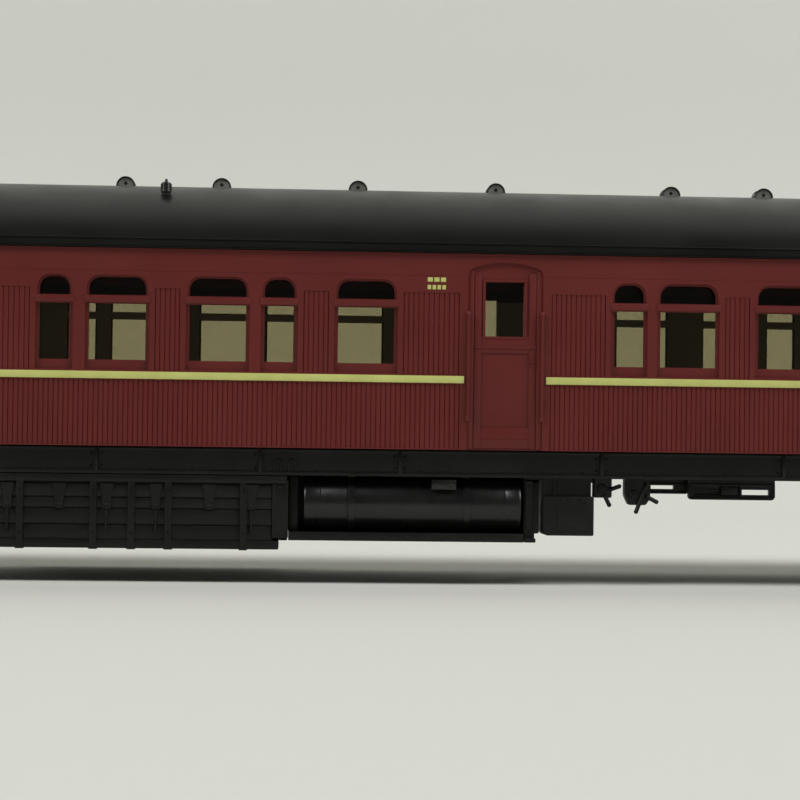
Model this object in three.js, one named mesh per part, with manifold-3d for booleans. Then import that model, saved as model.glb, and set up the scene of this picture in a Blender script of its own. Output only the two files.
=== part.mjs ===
// A model passenger coach at 1:87.1, in millimetres. X runs along the coach, Y across it and Z up.
// The origin is under the middle of the coach, level with the bottoms of the wheel flanges.
// Heights in this file are above the rail head, as on a coach drawing, and one group lifts them.
import * as THREE from "three";
import { mergeVertices } from "three/addons/utils/BufferGeometryUtils.js";
import Module from "manifold-3d";

const wasm = await Module();
wasm.setup();

// ---- driving dimensions ----
const flangeDepth = 0.9;
const bodyLength = 253.7;
const bodyWidth = 33.2;
const bodyBottom = 14.65;
const bodyTop = 37.12;
const skin = 0.5; // each side is an outer and an inner skin of this thickness
const clearance = 0.1; // between flat faces that meet
const fit = 0.3; // between curved or cut faces that meet

const roofOverhang = 0.4;
const eavesHeight = 38.15;
const ridgeHeight = 46.0;
const roofWall = 1.0;

const sillHeight = 24.42;
const sashTop = 30.8;
const lightBottom = 31.75;
const lightTop = 33.8;
const wideHalf = 3.2;
const narrowHalf = 1.68;
const wideWindows = [-102.6, -91.3, -67.35, -56.05, -32.1, -20.8, -3.95, 33.1, 44.5, 68.3, 79.6, 96.5];
const narrowWindows = [-109.7, -84.35, -74.45, -49.1, -39.2, -13.85, 26.25, 51.4, 61.3, 86.6, 103.5];

const doors = [-118.3, 12.0, 118.3];
const doorHalf = 4.2;
const doorSpring = 35.25;
const doorCrown = 36.2;
const doorGlass = { left: -2.3, right: 2.15, bottom: 27.7, top: 33.95 };

const solebarBottom = 11.5;
const solebarFace = 15.6;
const solebarRibs = [-112, -98, -76, -55, -34.5, -15.9, 0.1, 23.4, 44.6, 65, 86, 104];

const ventRadius = 1.17;
const ventHeight = 46.05;
const ventPlaces = [-102.6, -91.3, -67.35, -56.05, -32.8, -21.2, -4.65, 12.2, 33.8, 45.3, 68.3, 79.6, 96.5];

const bogieCentre = 87.5;
const wheelbase = 28;
const treadRadius = 5.25;
const wheelBack = 7.25; // half the distance between the backs of two wheels
const wheelWidth = 2.7;
const axleRadius = 0.9;
const axleHalf = 12.7;
const bogieInner = 11.3;
const bogieOuter = 12.7;

const couplerHeight = 10.0;
const couplerPivot = 117.5;

// ---- materials ----
const paint = (color, roughness, metalness = 0) =>
  new THREE.MeshStandardMaterial({ color, roughness, metalness });
const maroonPlastic = paint(0x5a2420, 0.55);
const roofPlastic = paint(0x2a2c29, 0.5);
const blackPlastic = paint(0x1a1a19, 0.5);
const rubberBlack = paint(0x161616, 0.8);
const clearPlastic = paint(0xb8b59a, 0.1);
const wheelMetal = paint(0x4a4744, 0.35, 0.9);
const steel = paint(0x8a8a88, 0.35, 1);
const ventMetal = paint(0x2b2c2a, 0.45, 0.2);

// ---- helpers: plain solids, joins and cuts ----
function toSolid(geometry) {
  const bare = geometry.index ? geometry.toNonIndexed() : geometry.clone();
  bare.deleteAttribute("normal");
  bare.deleteAttribute("uv");
  const merged = mergeVertices(bare, 1e-4);
  return new wasm.Manifold(
    new wasm.Mesh({
      numProp: 3,
      vertProperties: merged.attributes.position.array,
      triVerts: new Uint32Array(merged.index.array),
    }),
  );
}

function toGeometry(solid) {
  const mesh = solid.getMesh();
  const geometry = new THREE.BufferGeometry();
  geometry.setAttribute("position", new THREE.BufferAttribute(new Float32Array(mesh.vertProperties), 3));
  geometry.setIndex(new THREE.BufferAttribute(new Uint32Array(mesh.triVerts), 1));
  return geometry;
}

const joined = (solids) => solids.reduce((all, next) => all.add(next));
const cutBy = (solid, tools) => tools.reduce((left, tool) => left.subtract(tool), solid);

// A box between two corners, given in any order.
function block(x0, x1, y0, y1, z0, z1) {
  const box = new THREE.BoxGeometry(Math.abs(x1 - x0), Math.abs(y1 - y0), Math.abs(z1 - z0));
  return toSolid(box.translate((x0 + x1) / 2, (y0 + y1) / 2, (z0 + z1) / 2));
}

// An outline in X and Z, extruded across the coach from y0 to y1.
function acrossY(shape, y0, y1, curveSegments = 4) {
  const extruded = new THREE.ExtrudeGeometry(shape, { depth: y1 - y0, bevelEnabled: false, curveSegments });
  return toSolid(extruded.rotateX(Math.PI / 2).translate(0, y1, 0));
}

// An outline in Y and Z, extruded along the coach from x0 to x1.
function alongX(shape, x0, x1, curveSegments = 8) {
  const extruded = new THREE.ExtrudeGeometry(shape, { depth: x1 - x0, bevelEnabled: false, curveSegments });
  return toSolid(extruded.rotateX(Math.PI / 2).rotateZ(Math.PI / 2).translate(x0, 0, 0));
}

// A turned solid: profile points are [radius, distance along the axis], with the distance rising.
function turned(profile, axis, x, y, z, segments = 20) {
  const points = profile.map(([radius, along]) => new THREE.Vector2(radius, along));
  const lathe = new THREE.LatheGeometry(points, segments);
  if (axis === "x") lathe.rotateZ(-Math.PI / 2);
  if (axis === "z") lathe.rotateX(Math.PI / 2);
  return toSolid(lathe.translate(x, y, z));
}

const rod = (radius, from, to, axis, x, y, z, segments = 16) =>
  turned([[0, from], [radius, from], [radius, to], [0, to]], axis, x, y, z, segments);

function polygon(points) {
  const shape = new THREE.Shape();
  points.forEach(([u, v], i) => (i ? shape.lineTo(u, v) : shape.moveTo(u, v)));
  shape.closePath();
  return shape;
}

const rectangle = (u0, u1, v0, v1) => polygon([[u0, v0], [u1, v0], [u1, v1], [u0, v1]]);

// ---- body ----
// A fanlight has a straight sill and rounded top corners.
function fanlight(centre, half) {
  const corner = Math.min(half, 1.25);
  const shape = new THREE.Shape();
  shape.moveTo(centre - half, lightBottom);
  shape.lineTo(centre + half, lightBottom);
  shape.absarc(centre + half - corner, lightTop - corner, corner, 0, Math.PI / 2);
  shape.absarc(centre - half + corner, lightTop - corner, corner, Math.PI / 2, Math.PI);
  shape.closePath();
  return shape;
}

// A doorway has straight jambs and a flat arch.
function doorway(centre) {
  const rise = doorCrown - doorSpring;
  const radius = (doorHalf * doorHalf + rise * rise) / (2 * rise);
  const spread = Math.asin(doorHalf / radius);
  const shape = new THREE.Shape();
  shape.moveTo(centre - doorHalf, bodyBottom + 0.05);
  shape.lineTo(centre + doorHalf, bodyBottom + 0.05);
  shape.absarc(centre, doorCrown - radius, radius, Math.PI / 2 - spread, Math.PI / 2 + spread);
  shape.closePath();
  return shape;
}

function windowCuts(y0, y1) {
  const sizes = [
    ...wideWindows.map((x) => [x, wideHalf]),
    ...narrowWindows.map((x) => [x, narrowHalf]),
  ];
  return sizes.flatMap(([x, half]) => [
    acrossY(rectangle(x - half, x + half, sillHeight, sashTop), y0, y1),
    acrossY(fanlight(x, half), y0, y1, 2),
  ]);
}

function bodySide(sign) {
  const face = bodyWidth / 2;
  const [low, high] = sign < 0 ? [-face, -face + 2 * skin] : [face - 2 * skin, face];
  const wall = block(-bodyLength / 2, bodyLength / 2, low, high, bodyBottom, bodyTop);
  const recess = sign < 0 ? [low - 1, low + skin] : [high - skin, high + 1];
  const recesses = doors.map((x) => acrossY(doorway(x), recess[0], recess[1], 6));
  const panes = doors.map((x) =>
    block(x + doorGlass.left, x + doorGlass.right, low - 1, high + 1, doorGlass.bottom, doorGlass.top),
  );
  return cutBy(wall, [...windowCuts(low - 1, high + 1), ...recesses, ...panes]);
}

function bodyEnd(sign) {
  const outer = (sign * bodyLength) / 2;
  const inner = outer - sign * 2 * skin;
  const half = bodyWidth / 2 - 2 * skin;
  return block(inner, outer, -half - skin, half + skin, bodyBottom, bodyTop);
}

const makeBodyShell = () => joined([bodySide(-1), bodySide(1), bodyEnd(-1), bodyEnd(1)]);

// ---- roof ----
const roofHalf = bodyWidth / 2 + roofOverhang;
const roofRise = ridgeHeight - eavesHeight;
const roofRadius = (roofHalf * roofHalf + roofRise * roofRise) / (2 * roofRise);
const roofAxis = ridgeHeight - roofRadius;
const roofEnd = bodyLength / 2 + roofOverhang;

// The roof's section, or that section grown or shrunk by an offset.
function roofSection(offset, bottom) {
  const radius = roofRadius + offset;
  const half = roofHalf + offset;
  const spread = Math.asin(Math.min(half / radius, 1));
  const shape = new THREE.Shape();
  shape.moveTo(-half, bottom);
  shape.lineTo(half, bottom);
  shape.absarc(0, roofAxis, radius, Math.PI / 2 - spread, Math.PI / 2 + spread);
  shape.closePath();
  return shape;
}

function makeRoof() {
  const outside = alongX(roofSection(0, bodyTop + clearance / 2), -roofEnd, roofEnd, 20);
  const hollow = bodyLength / 2 - 1;
  const inside = alongX(roofSection(-roofWall - roofOverhang, bodyTop - 1), -hollow, hollow, 16);
  return outside.subtract(inside);
}

const roofClearanceBlock = (x, half) => alongX(roofSection(fit / 2, bodyTop), x - half, x + half, 28);

// A vent is a short drum lying across the ridge, half sunk in it, with a flared rim at each end.
function makeVent(x) {
  const drum = turned(
    [[0, -1.1], [ventRadius, -1.1], [ventRadius, -0.8], [0.9, -0.65],
     [0.9, 0.65], [ventRadius, 0.8], [ventRadius, 1.1], [0, 1.1]],
    "y", x, 0, ventHeight, 14,
  );
  return drum.subtract(roofClearanceBlock(x, 4));
}

// The lamp top is a slim chimney with a collar and a small nib on the near slope of the roof.
const lampPlace = { x: -27.45, y: -8.6, top: 46.05 };

function makeLampTop() {
  const { x, y, top } = lampPlace;
  const profile = [[0, top - 4], [0.8, top - 4], [0.8, top - 2.0], [0.5, top - 1.75], [0.5, top - 1.4],
    [0.7, top - 1.3], [0.7, top - 0.7], [0.55, top - 0.4], [0.17, top - 0.3], [0.17, top], [0, top]];
  return turned(profile, "z", x, y, 0, 16).subtract(roofClearanceBlock(x, 4));
}

// ---- glazing, floor, ballast ----
function makeGlazing(sign) {
  const outer = bodyWidth / 2 - 2 * skin - clearance;
  const length = bodyLength / 2 - 2 * skin - 1.5;
  return block(-length, length, sign * outer, sign * (outer - 0.6), sillHeight - 0.8, lightTop + 1.2);
}

const floorTop = bodyBottom + 1.35;
const floorHalf = bodyWidth / 2 - 2 * skin - clearance;
const floorLength = bodyLength / 2 - 2 * skin - clearance;
const pivotPadBottom = 10.6;

function makeFloor() {
  const plate = block(-floorLength, floorLength, -floorHalf, floorHalf, bodyBottom, floorTop);
  const pads = [-bogieCentre, bogieCentre].map((x) =>
    rod(3.4, pivotPadBottom, bodyBottom + 0.3, "z", x, 0, 0, 20));
  const holes = [-bogieCentre, bogieCentre].map((x) => rod(1.4, pivotPadBottom - 1, 14, "z", x, 0, 0, 12));
  return cutBy(joined([plate, ...pads]), holes);
}

const ballastTop = floorTop + 2.0;
const ballastScrews = [-60, 60];

function makeBallast() {
  const bar = block(-74, 74, -9, 9, floorTop + clearance, ballastTop);
  return cutBy(bar, ballastScrews.map((x) => rod(1.5, floorTop, ballastTop + 1, "z", x, 0, 0)));
}

// A pan-head screw in the ballast bar: its shank fills the hole and its head stands above.
function makeBallastScrew(x) {
  const base = ballastTop + clearance;
  const profile = [[0, floorTop + clearance], [1.2, floorTop + clearance], [1.2, base], [2.2, base],
    [2.2, base + 0.6], [1.6, base + 1.0], [0, base + 1.0]];
  const slot = block(x - 3, x + 3, -0.25, 0.25, base + 0.6, base + 2);
  return turned(profile, "z", x, 0, 0).subtract(slot);
}

// ---- underframe ----
const solebarEnd = bodyLength / 2 - 3;

function makeSolebar(sign) {
  const top = bodyBottom - clearance;
  const face = sign * solebarFace;
  const web = block(-solebarEnd, solebarEnd, face - sign * 0.35, face - sign * 0.95, solebarBottom, top);
  const lip = block(-solebarEnd, solebarEnd, face, face - sign * 0.95, solebarBottom, solebarBottom + 0.45);
  const ribs = solebarRibs.map((x) =>
    block(x - 0.22, x + 0.22, face, face - sign * 0.6, solebarBottom + 0.2, top));
  return joined([web, lip, ...ribs]);
}

const hangTop = bodyBottom - clearance; // where underfloor gear meets the floor

const batteryPosts = [-52.5, -43.1, -34.8, -30.5, -26.3, -17.75];

// The battery box is a long planked box with posts, a stepped end and a hanger up to the floor.
function makeBatteryBox(sign, left, right) {
  const face = sign * 15.3;
  const back = sign * 6.5;
  const box = block(left, right - 1.7, face, back, 3.3, 10.7);
  const endPost = block(right - 1.7, right, face + sign * 0.15, back, 4.3, 10.9);
  const lid = block(left - 0.3, right, face + sign * 0.25, back, 10.55, 11.2);
  const skid = block(left, right - 1.1, face + sign * 0.2, back, 3.0, 4.35);
  const posts = batteryPosts.filter((x) => x > left + 1).map((x) => {
    return block(x - 0.4, x + 0.4, face + sign * 0.2, face - sign, 3.1, 10.6);
  });
  const hanger = block(left + 0.5, right - 0.5, sign * 14.2, sign * 8, 10.8, hangTop);
  return joined([box, endPost, lid, skid, ...posts, hanger]);
}

const tank = { left: -10.9, right: 14.2, radius: 3.15, height: 8.3, offset: 12.2 };

// A drum tank with dished ends and two strap bands, hung from the floor by two blocks.
function makeTank(sign, shape) {
  const { left, right, radius, height, offset } = shape;
  const straps = [left + (right - left) * 0.22, left + (right - left) * 0.75];
  const bands = straps.flatMap((x) => [[radius, x - 0.45], [radius + 0.15, x - 0.45],
    [radius + 0.15, x + 0.45], [radius, x + 0.45]]);
  const profile = [[0, left], [radius * 0.75, left + 0.25], [radius, left + 0.9], ...bands,
    [radius, right - 0.9], [radius * 0.75, right - 0.25], [0, right]];
  const drum = turned(profile, "x", 0, sign * offset, height, 20);
  const hangers = straps.map((x) =>
    block(x - 0.45, x + 0.45, sign * (offset - 1.2), sign * (offset + 1.2), height + radius - 0.6, hangTop));
  return joined([drum, ...hangers]);
}

// The tray is a pan under the near tank with a front lip, a closed left end and a back plate.
function makeTankTray() {
  const lip = block(-12.6, 14.4, -15.7, -15.3, 4.1, 5.1);
  const pan = block(-12.6, 14.4, -15.7, -8.2, 4.1, 4.5);
  const leftEnd = block(-12.6, -11.5, -15.3, -8.2, 4.3, solebarBottom - clearance);
  const back = block(-12.6, 16.2, -8.7, -8.2, 4.3, hangTop);
  return joined([lip, pan, leftEnd, back]);
}

// The bracket at the tank's right end has a notched lower corner.
function makeTankBracket() {
  const top = solebarBottom - clearance;
  const outline = polygon([[14.5, 4.1], [15.8, 4.1], [15.8, 5.1], [16.3, 5.1], [16.3, top], [14.5, top]]);
  return acrossY(outline, -15.6, -9).add(block(14.5, 16.3, -14.3, -9, top - 0.5, hangTop));
}

function makeEquipmentBox() {
  const outline = polygon([[17.1, 4.9], [22.6, 4.9], [22.6, 9.45], [16.7, 9.45], [16.7, 5.3]]);
  return acrossY(outline, -15.2, -9.5).add(block(16.9, 22.35, -14.3, -9.7, 9.2, hangTop));
}

// A cock: a body under the floor with a plug at its front and two handles, each from root to tip.
function makeCock(outline, plugAt, handles) {
  const body = acrossY(polygon(outline), -14.3, -12.4);
  const plug = rod(0.55, -14.8, -13, "y", plugAt[0], 0, plugAt[1], 12);
  const arms = handles.map(([x0, z0, x1, z1]) => {
    const length = Math.hypot(x1 - x0, z1 - z0);
    const arm = new THREE.BoxGeometry(length, 0.5, 0.5).translate(length / 2, 0, 0);
    arm.rotateY(-Math.atan2(z1 - z0, x1 - x0));
    return toSolid(arm.translate(x0, -14.4, z0));
  });
  return joined([body, plug, ...arms]);
}

// A link frame: a flat plate on edge under the floor, with slots through it.
function makeLinkFrame(left, right, bottom, front, slots) {
  const corner = 0.5;
  const plate = new THREE.Shape();
  plate.moveTo(left, hangTop);
  plate.lineTo(left, bottom + corner);
  plate.absarc(left + corner, bottom + corner, corner, Math.PI, Math.PI * 1.5);
  plate.absarc(right - corner, bottom + corner, corner, -Math.PI / 2, 0);
  plate.lineTo(right, hangTop);
  plate.closePath();
  const openings = slots.map(([x0, x1, z0, z1]) => block(x0, x1, front - 1, front + 2, z0, z1));
  return cutBy(acrossY(plate, front, front + 0.8), openings);
}

// ---- ends ----
// The gangway is a pleated frame around the end doorway with a flat face plate.
function makeGangway(sign) {
  const start = bodyLength / 2 + clearance;
  const rings = [[0, 5.4, 36.2], [0.6, 5.9, 36.6], [1.2, 5.4, 36.2], [1.8, 5.9, 36.6], [2.3, 5.6, 36.4]];
  const pleats = rings.map(([along, half, top]) =>
    block(sign * (start + along), sign * (start + along + 0.65), -half, half, 14.9, top));
  const doorway = block(sign * start, sign * (start + 4), -3.6, 3.6, 16.6, 33.8);
  return joined(pleats).subtract(doorway);
}

const pocket = { inner: 114.0, outer: 125.4, half: 3.3, top: 12.0, bottom: 8.6 };

// The coupler pocket is a box open at its outer end, with a post that the coupler turns on.
function makeCouplerPocket(sign) {
  const { inner, outer, half, top, bottom } = pocket;
  const shell = block(sign * inner, sign * outer, -half, half, bottom, hangTop);
  const wide = half - 0.7;
  const hollow = block(sign * (inner + 0.8), sign * (outer + 1), -wide, wide, bottom + 0.5, top - 0.5);
  const post = rod(0.7, bottom + 0.3, top - 0.3, "z", sign * couplerPivot, 0, 0, 12);
  return shell.subtract(hollow).add(post);
}

const headStart = 127.4;
const knucklePin = { x: 130.3, y: 1.5 };

// The coupler is a shank with an eye round the post, a head and a guard arm.
function makeCoupler(sign) {
  const low = couplerHeight - 0.65;
  const high = couplerHeight + 0.65;
  const eye = rod(1.6, low, high, "z", sign * couplerPivot, 0, 0, 16);
  const shank = block(sign * couplerPivot, sign * headStart, -0.9, 0.9, low, high);
  const head = [[headStart - 0.6, -1.3], [headStart + 0.6, -2.5], [131.4, -2.9], [131.6, -2.2],
    [130.0, -1.3], [129.2, -0.9], [129.2, 2.3], [headStart - 0.6, 1.3]];
  const placedHead = polygon(head.map(([u, v]) => [sign * u, sign * v]));
  const flat = new THREE.ExtrudeGeometry(placedHead, { depth: 2.6, bevelEnabled: false });
  const headSolid = toSolid(flat.translate(0, 0, couplerHeight - 1.3));
  const hole = rod(1.0, low - 2, high + 2, "z", sign * couplerPivot, 0, 0, 16);
  return joined([eye, shank, headSolid]).subtract(hole);
}

// The knuckle is a hook that turns on a pin at the side of the head.
function makeKnuckle(sign) {
  const outline = polygon([[129.55, 0.4], [131.2, 0.2], [131.2, -0.6], [132.1, -0.7], [132.5, 0.6],
    [131.9, 1.9], [130.7, 2.7], [129.55, 2.5]].map(([u, v]) => [sign * u, sign * v]));
  const flat = new THREE.ExtrudeGeometry(outline, { depth: 2.2, bevelEnabled: false });
  const hook = toSolid(flat.translate(0, 0, couplerHeight - 1.1));
  const { x, y } = knucklePin;
  const pin = rod(0.5, couplerHeight - 1.7, couplerHeight + 1.5, "z", sign * x, sign * y, 0, 12);
  return joined([hook, pin]);
}

// ---- bogies ----
const axleHeight = treadRadius;

// One side frame: top chord, two axleboxes, equaliser bar, two coil springs and the bolster spring.
function bogieSide(sign) {
  const inner = sign * bogieInner;
  const outer = sign * bogieOuter;
  const proud = sign * (bogieOuter + 0.5);
  const chord = block(-18.3, 18.3, inner, outer, 8.2, 9.7);
  const boxes = [-wheelbase / 2, wheelbase / 2].map((x) =>
    block(x - 1.9, x + 1.9, inner, sign * (bogieOuter + 1.0), 3.2, 8.4));
  const bar = polygon([[-14.5, 6.6], [-14.5, 5.6], [-10.4, 5.3], [-8.8, 2.9], [8.8, 2.9], [10.4, 5.3],
    [14.5, 5.6], [14.5, 6.6], [9.6, 6.3], [8.0, 3.9], [-8.0, 3.9], [-9.6, 6.3]]);
  const barFaces = [inner + sign * 0.3, outer];
  const equaliser = acrossY(bar, Math.min(...barFaces), Math.max(...barFaces));
  const springs = [-6.2, 6.2].map((x) => rod(1.3, 3.6, 8.5, "z", x, sign * 12.0, 0, 14));
  const bolster = block(-3.2, 3.2, inner, proud, 3.7, 9.0);
  return joined([chord, ...boxes, equaliser, ...springs, bolster]);
}

function makeBogieFrame() {
  const sides = joined([bogieSide(-1), bogieSide(1)]);
  const bolster = block(-3.4, 3.4, -bogieInner - 0.5, bogieInner + 0.5, 7.6, pivotPadBottom - clearance);
  const reach = bogieInner + 0.5;
  const ends = [-17.6, 17.6].map((x) => block(x - 0.6, x + 0.6, -reach, reach, 8.4, 9.4));
  const gapRadius = treadRadius + flangeDepth + fit;
  const gapHalf = wheelBack + wheelWidth + 0.5;
  const wheelGaps = [-wheelbase / 2, wheelbase / 2].map((x) =>
    rod(gapRadius, -gapHalf, gapHalf, "y", x, 0, axleHeight, 24));
  const bearings = [-wheelbase / 2, wheelbase / 2].map((x) =>
    rod(axleRadius + 0.2, -axleHalf - fit, axleHalf + fit, "y", x, 0, axleHeight, 16));
  const pinHole = rod(1.4, 5, 12, "z", 0, 0, 0, 16);
  return cutBy(joined([sides, bolster, ...ends]), [...wheelGaps, ...bearings, pinHole]);
}

// The axle has a short cone at each end, which turns in the axlebox.
function makeAxle() {
  const seat = wheelBack + wheelWidth;
  const profile = [[0, -axleHalf], [0.3, -axleHalf], [axleRadius, -seat - 1.2], [axleRadius, seat + 1.2],
    [0.3, axleHalf], [0, axleHalf]];
  return turned(profile, "y", 0, 0, 0, 16);
}

// A wheel is a ring on the axle: flange, tread, and a web set back between rim and hub.
function makeWheel(sign) {
  const bore = axleRadius + 0.05;
  const flangeRadius = treadRadius + flangeDepth;
  const profile = [[bore, 0], [flangeRadius - 0.3, 0], [flangeRadius, 0.35], [treadRadius + 0.2, 0.85],
    [treadRadius, wheelWidth], [4.4, wheelWidth], [4.2, 1.7], [1.9, 1.7], [1.7, wheelWidth],
    [bore, wheelWidth], [bore, 0]];
  const placed = profile.map(([radius, along]) => [radius, wheelBack + along]);
  const mirrored = placed.map(([radius, along]) => [radius, -along]).reverse();
  return turned(sign < 0 ? mirrored : placed, "y", 0, 0, 0, 24);
}

// A pan-head screw from below holds the bogie to the floor pad.
function makePivotScrew() {
  const profile = [[0, 5.9], [2.0, 5.9], [2.4, 6.3], [2.4, 7.3], [1.1, 7.3], [1.1, 13.6], [0, 13.6]];
  const slot = block(-3, 3, -0.25, 0.25, 5, 6.3);
  return turned(profile, "z", 0, 0, 0).subtract(slot);
}

// ---- the assembly ----
const coach = new THREE.Group();
const onRails = new THREE.Group();
onRails.position.z = flangeDepth;
coach.add(onRails);

function place(name, solid, material, parent = onRails) {
  const mesh = new THREE.Mesh(toGeometry(solid), material);
  mesh.name = name;
  parent.add(mesh);
  return mesh;
}

place("body_shell", makeBodyShell(), maroonPlastic);
place("roof", makeRoof(), roofPlastic);
place("underframe_floor", makeFloor(), blackPlastic);
place("ballast_weight", makeBallast(), steel);
place("lamp_top", makeLampTop(), ventMetal);
ventPlaces.forEach((x, i) => place(`roof_vent_${String(i + 1).padStart(2, "0")}`, makeVent(x), ventMetal));

place("battery_box_near", makeBatteryBox(-1, -60, -12.8), blackPlastic);
place("battery_box_far", makeBatteryBox(1, -46, -11.8), blackPlastic);
place("tank_near", makeTank(-1, tank), blackPlastic);
place("tank_far", makeTank(1, { ...tank, left: -9.0, right: 10.0, radius: 2.6, height: 9.0 }), blackPlastic);
place("tank_tray", makeTankTray(), blackPlastic);
place("tank_bracket", makeTankBracket(), blackPlastic);
place("equipment_box", makeEquipmentBox(), blackPlastic);
const cockA = [[22.7, 9.3], [24.8, 9.3], [24.8, hangTop], [22.7, hangTop]];
const cockB = [[26.8, 8.5], [28.8, 8.5], [29.3, 9.3], [29.3, hangTop], [26.3, hangTop], [26.3, 9.6]];
const handlesA = [[24.5, 10.25, 25.8, 10.7], [23.9, 9.6, 24.6, 8.3]];
const handlesB = [[28.9, 11.1, 27.5, 7.5], [28.8, 9.5, 30.1, 8.8]];
place("brake_cock_a", makeCock(cockA, [23.6, 10.3], handlesA), blackPlastic);
place("brake_cock_b", makeCock(cockB, [27.8, 9.9], handlesB), blackPlastic);
const slotsB = [[34.5, 37.4, 9.85, 10.1], [40.1, 43.3, 9.8, 10.4]];
place("link_frame_a", makeLinkFrame(28.9, 34.2, 9.8, -12.2, [[29.7, 32.4, 10.35, 10.9]]), blackPlastic);
place("link_frame_b", makeLinkFrame(33.8, 44.0, 9.2, -13.9, slotsB), blackPlastic);

[[-1, "near"], [1, "far"]].forEach(([sign, side]) => {
  place(`solebar_${side}`, makeSolebar(sign), blackPlastic);
  place(`glazing_${side}`, makeGlazing(sign), clearPlastic);
});

[[-1, "rear"], [1, "front"]].forEach(([sign, end]) => {
  place(`gangway_${end}`, makeGangway(sign), rubberBlack);
  place(`coupler_pocket_${end}`, makeCouplerPocket(sign), blackPlastic);
  place(`coupler_${end}`, makeCoupler(sign), blackPlastic);
  place(`knuckle_${end}`, makeKnuckle(sign), blackPlastic);
  const screwAt = ballastScrews[(sign + 1) / 2];
  place(`ballast_screw_${end}`, makeBallastScrew(screwAt), steel);

  const bogie = new THREE.Group();
  bogie.position.x = sign * bogieCentre;
  onRails.add(bogie);
  place(`bogie_frame_${end}`, makeBogieFrame(), blackPlastic, bogie);
  place(`pivot_screw_${end}`, makePivotScrew(), steel, bogie);
  [[-sign, "inner"], [sign, "outer"]].forEach(([along, which]) => {
    const wheelset = new THREE.Group();
    wheelset.position.set((along * wheelbase) / 2, 0, axleHeight);
    bogie.add(wheelset);
    place(`axle_${end}_${which}`, makeAxle(), steel, wheelset);
    place(`wheel_${end}_${which}_near`, makeWheel(-1), wheelMetal, wheelset);
    place(`wheel_${end}_${which}_far`, makeWheel(1), wheelMetal, wheelset);
  });
});

export default coach;
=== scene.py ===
from math import asin, atan2, cos, pi, radians, sin

import bmesh
import bpy
from mathutils import Matrix, Vector


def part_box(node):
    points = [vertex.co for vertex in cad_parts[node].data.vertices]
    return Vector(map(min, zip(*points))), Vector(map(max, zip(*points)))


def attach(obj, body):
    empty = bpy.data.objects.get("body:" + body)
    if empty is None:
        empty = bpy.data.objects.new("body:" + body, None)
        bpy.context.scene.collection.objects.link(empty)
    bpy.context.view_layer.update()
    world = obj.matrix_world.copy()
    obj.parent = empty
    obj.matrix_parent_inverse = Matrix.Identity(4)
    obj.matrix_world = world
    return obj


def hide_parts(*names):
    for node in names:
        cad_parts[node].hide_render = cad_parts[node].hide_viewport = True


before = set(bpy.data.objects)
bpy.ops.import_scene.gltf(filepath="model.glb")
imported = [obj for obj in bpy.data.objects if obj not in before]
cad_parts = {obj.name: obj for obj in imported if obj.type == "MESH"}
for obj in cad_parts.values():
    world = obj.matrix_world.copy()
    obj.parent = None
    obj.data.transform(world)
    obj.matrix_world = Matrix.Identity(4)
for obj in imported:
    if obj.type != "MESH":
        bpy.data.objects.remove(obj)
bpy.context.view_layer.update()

scene = bpy.context.scene
scene.view_settings.view_transform = "Standard"

# Pieces are drawn in millimetres above the rail head, and finishPiece brings them to metres.
flangeDepth = 0.9
toMetres = Matrix.Scale(0.001, 4) @ Matrix.Translation((0, 0, flangeDepth))


def nodeBox(node):
    low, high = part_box(node)
    lift = Vector((0, 0, flangeDepth))
    return low * 1000 - lift, high * 1000 - lift


def linear(red, green, blue):
    # a display colour from 0 to 255 as the linear colour that a shader takes
    def one(value):
        share = value / 255
        return share / 12.92 if share <= 0.04045 else ((share + 0.055) / 1.055) ** 2.4

    return (one(red), one(green), one(blue), 1.0)


def startMaterial(name):
    material = bpy.data.materials.new(name)
    material.use_nodes = True
    return material, material.node_tree.nodes, material.node_tree.links


def addNoise(nodes, links, scale, detail=3.0, stretch=(1, 1, 1)):
    coordinates = nodes.new("ShaderNodeTexCoord")
    mapping = nodes.new("ShaderNodeMapping")
    mapping.inputs["Scale"].default_value = stretch
    noise = nodes.new("ShaderNodeTexNoise")
    noise.inputs["Scale"].default_value = scale
    noise.inputs["Detail"].default_value = detail
    links.new(coordinates.outputs["Object"], mapping.inputs["Vector"])
    links.new(mapping.outputs["Vector"], noise.inputs["Vector"])
    return noise.outputs["Fac"]


def addRamp(nodes, links, source, low, high, start=0.35, end=0.65):
    ramp = nodes.new("ShaderNodeValToRGB")
    ramp.color_ramp.elements[0].position = start
    ramp.color_ramp.elements[1].position = end
    ramp.color_ramp.elements[0].color = low
    ramp.color_ramp.elements[1].color = high
    links.new(source, ramp.inputs["Fac"])
    return ramp.outputs["Color"]


def grey(value):
    return (value, value, value, 1.0)


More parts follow.
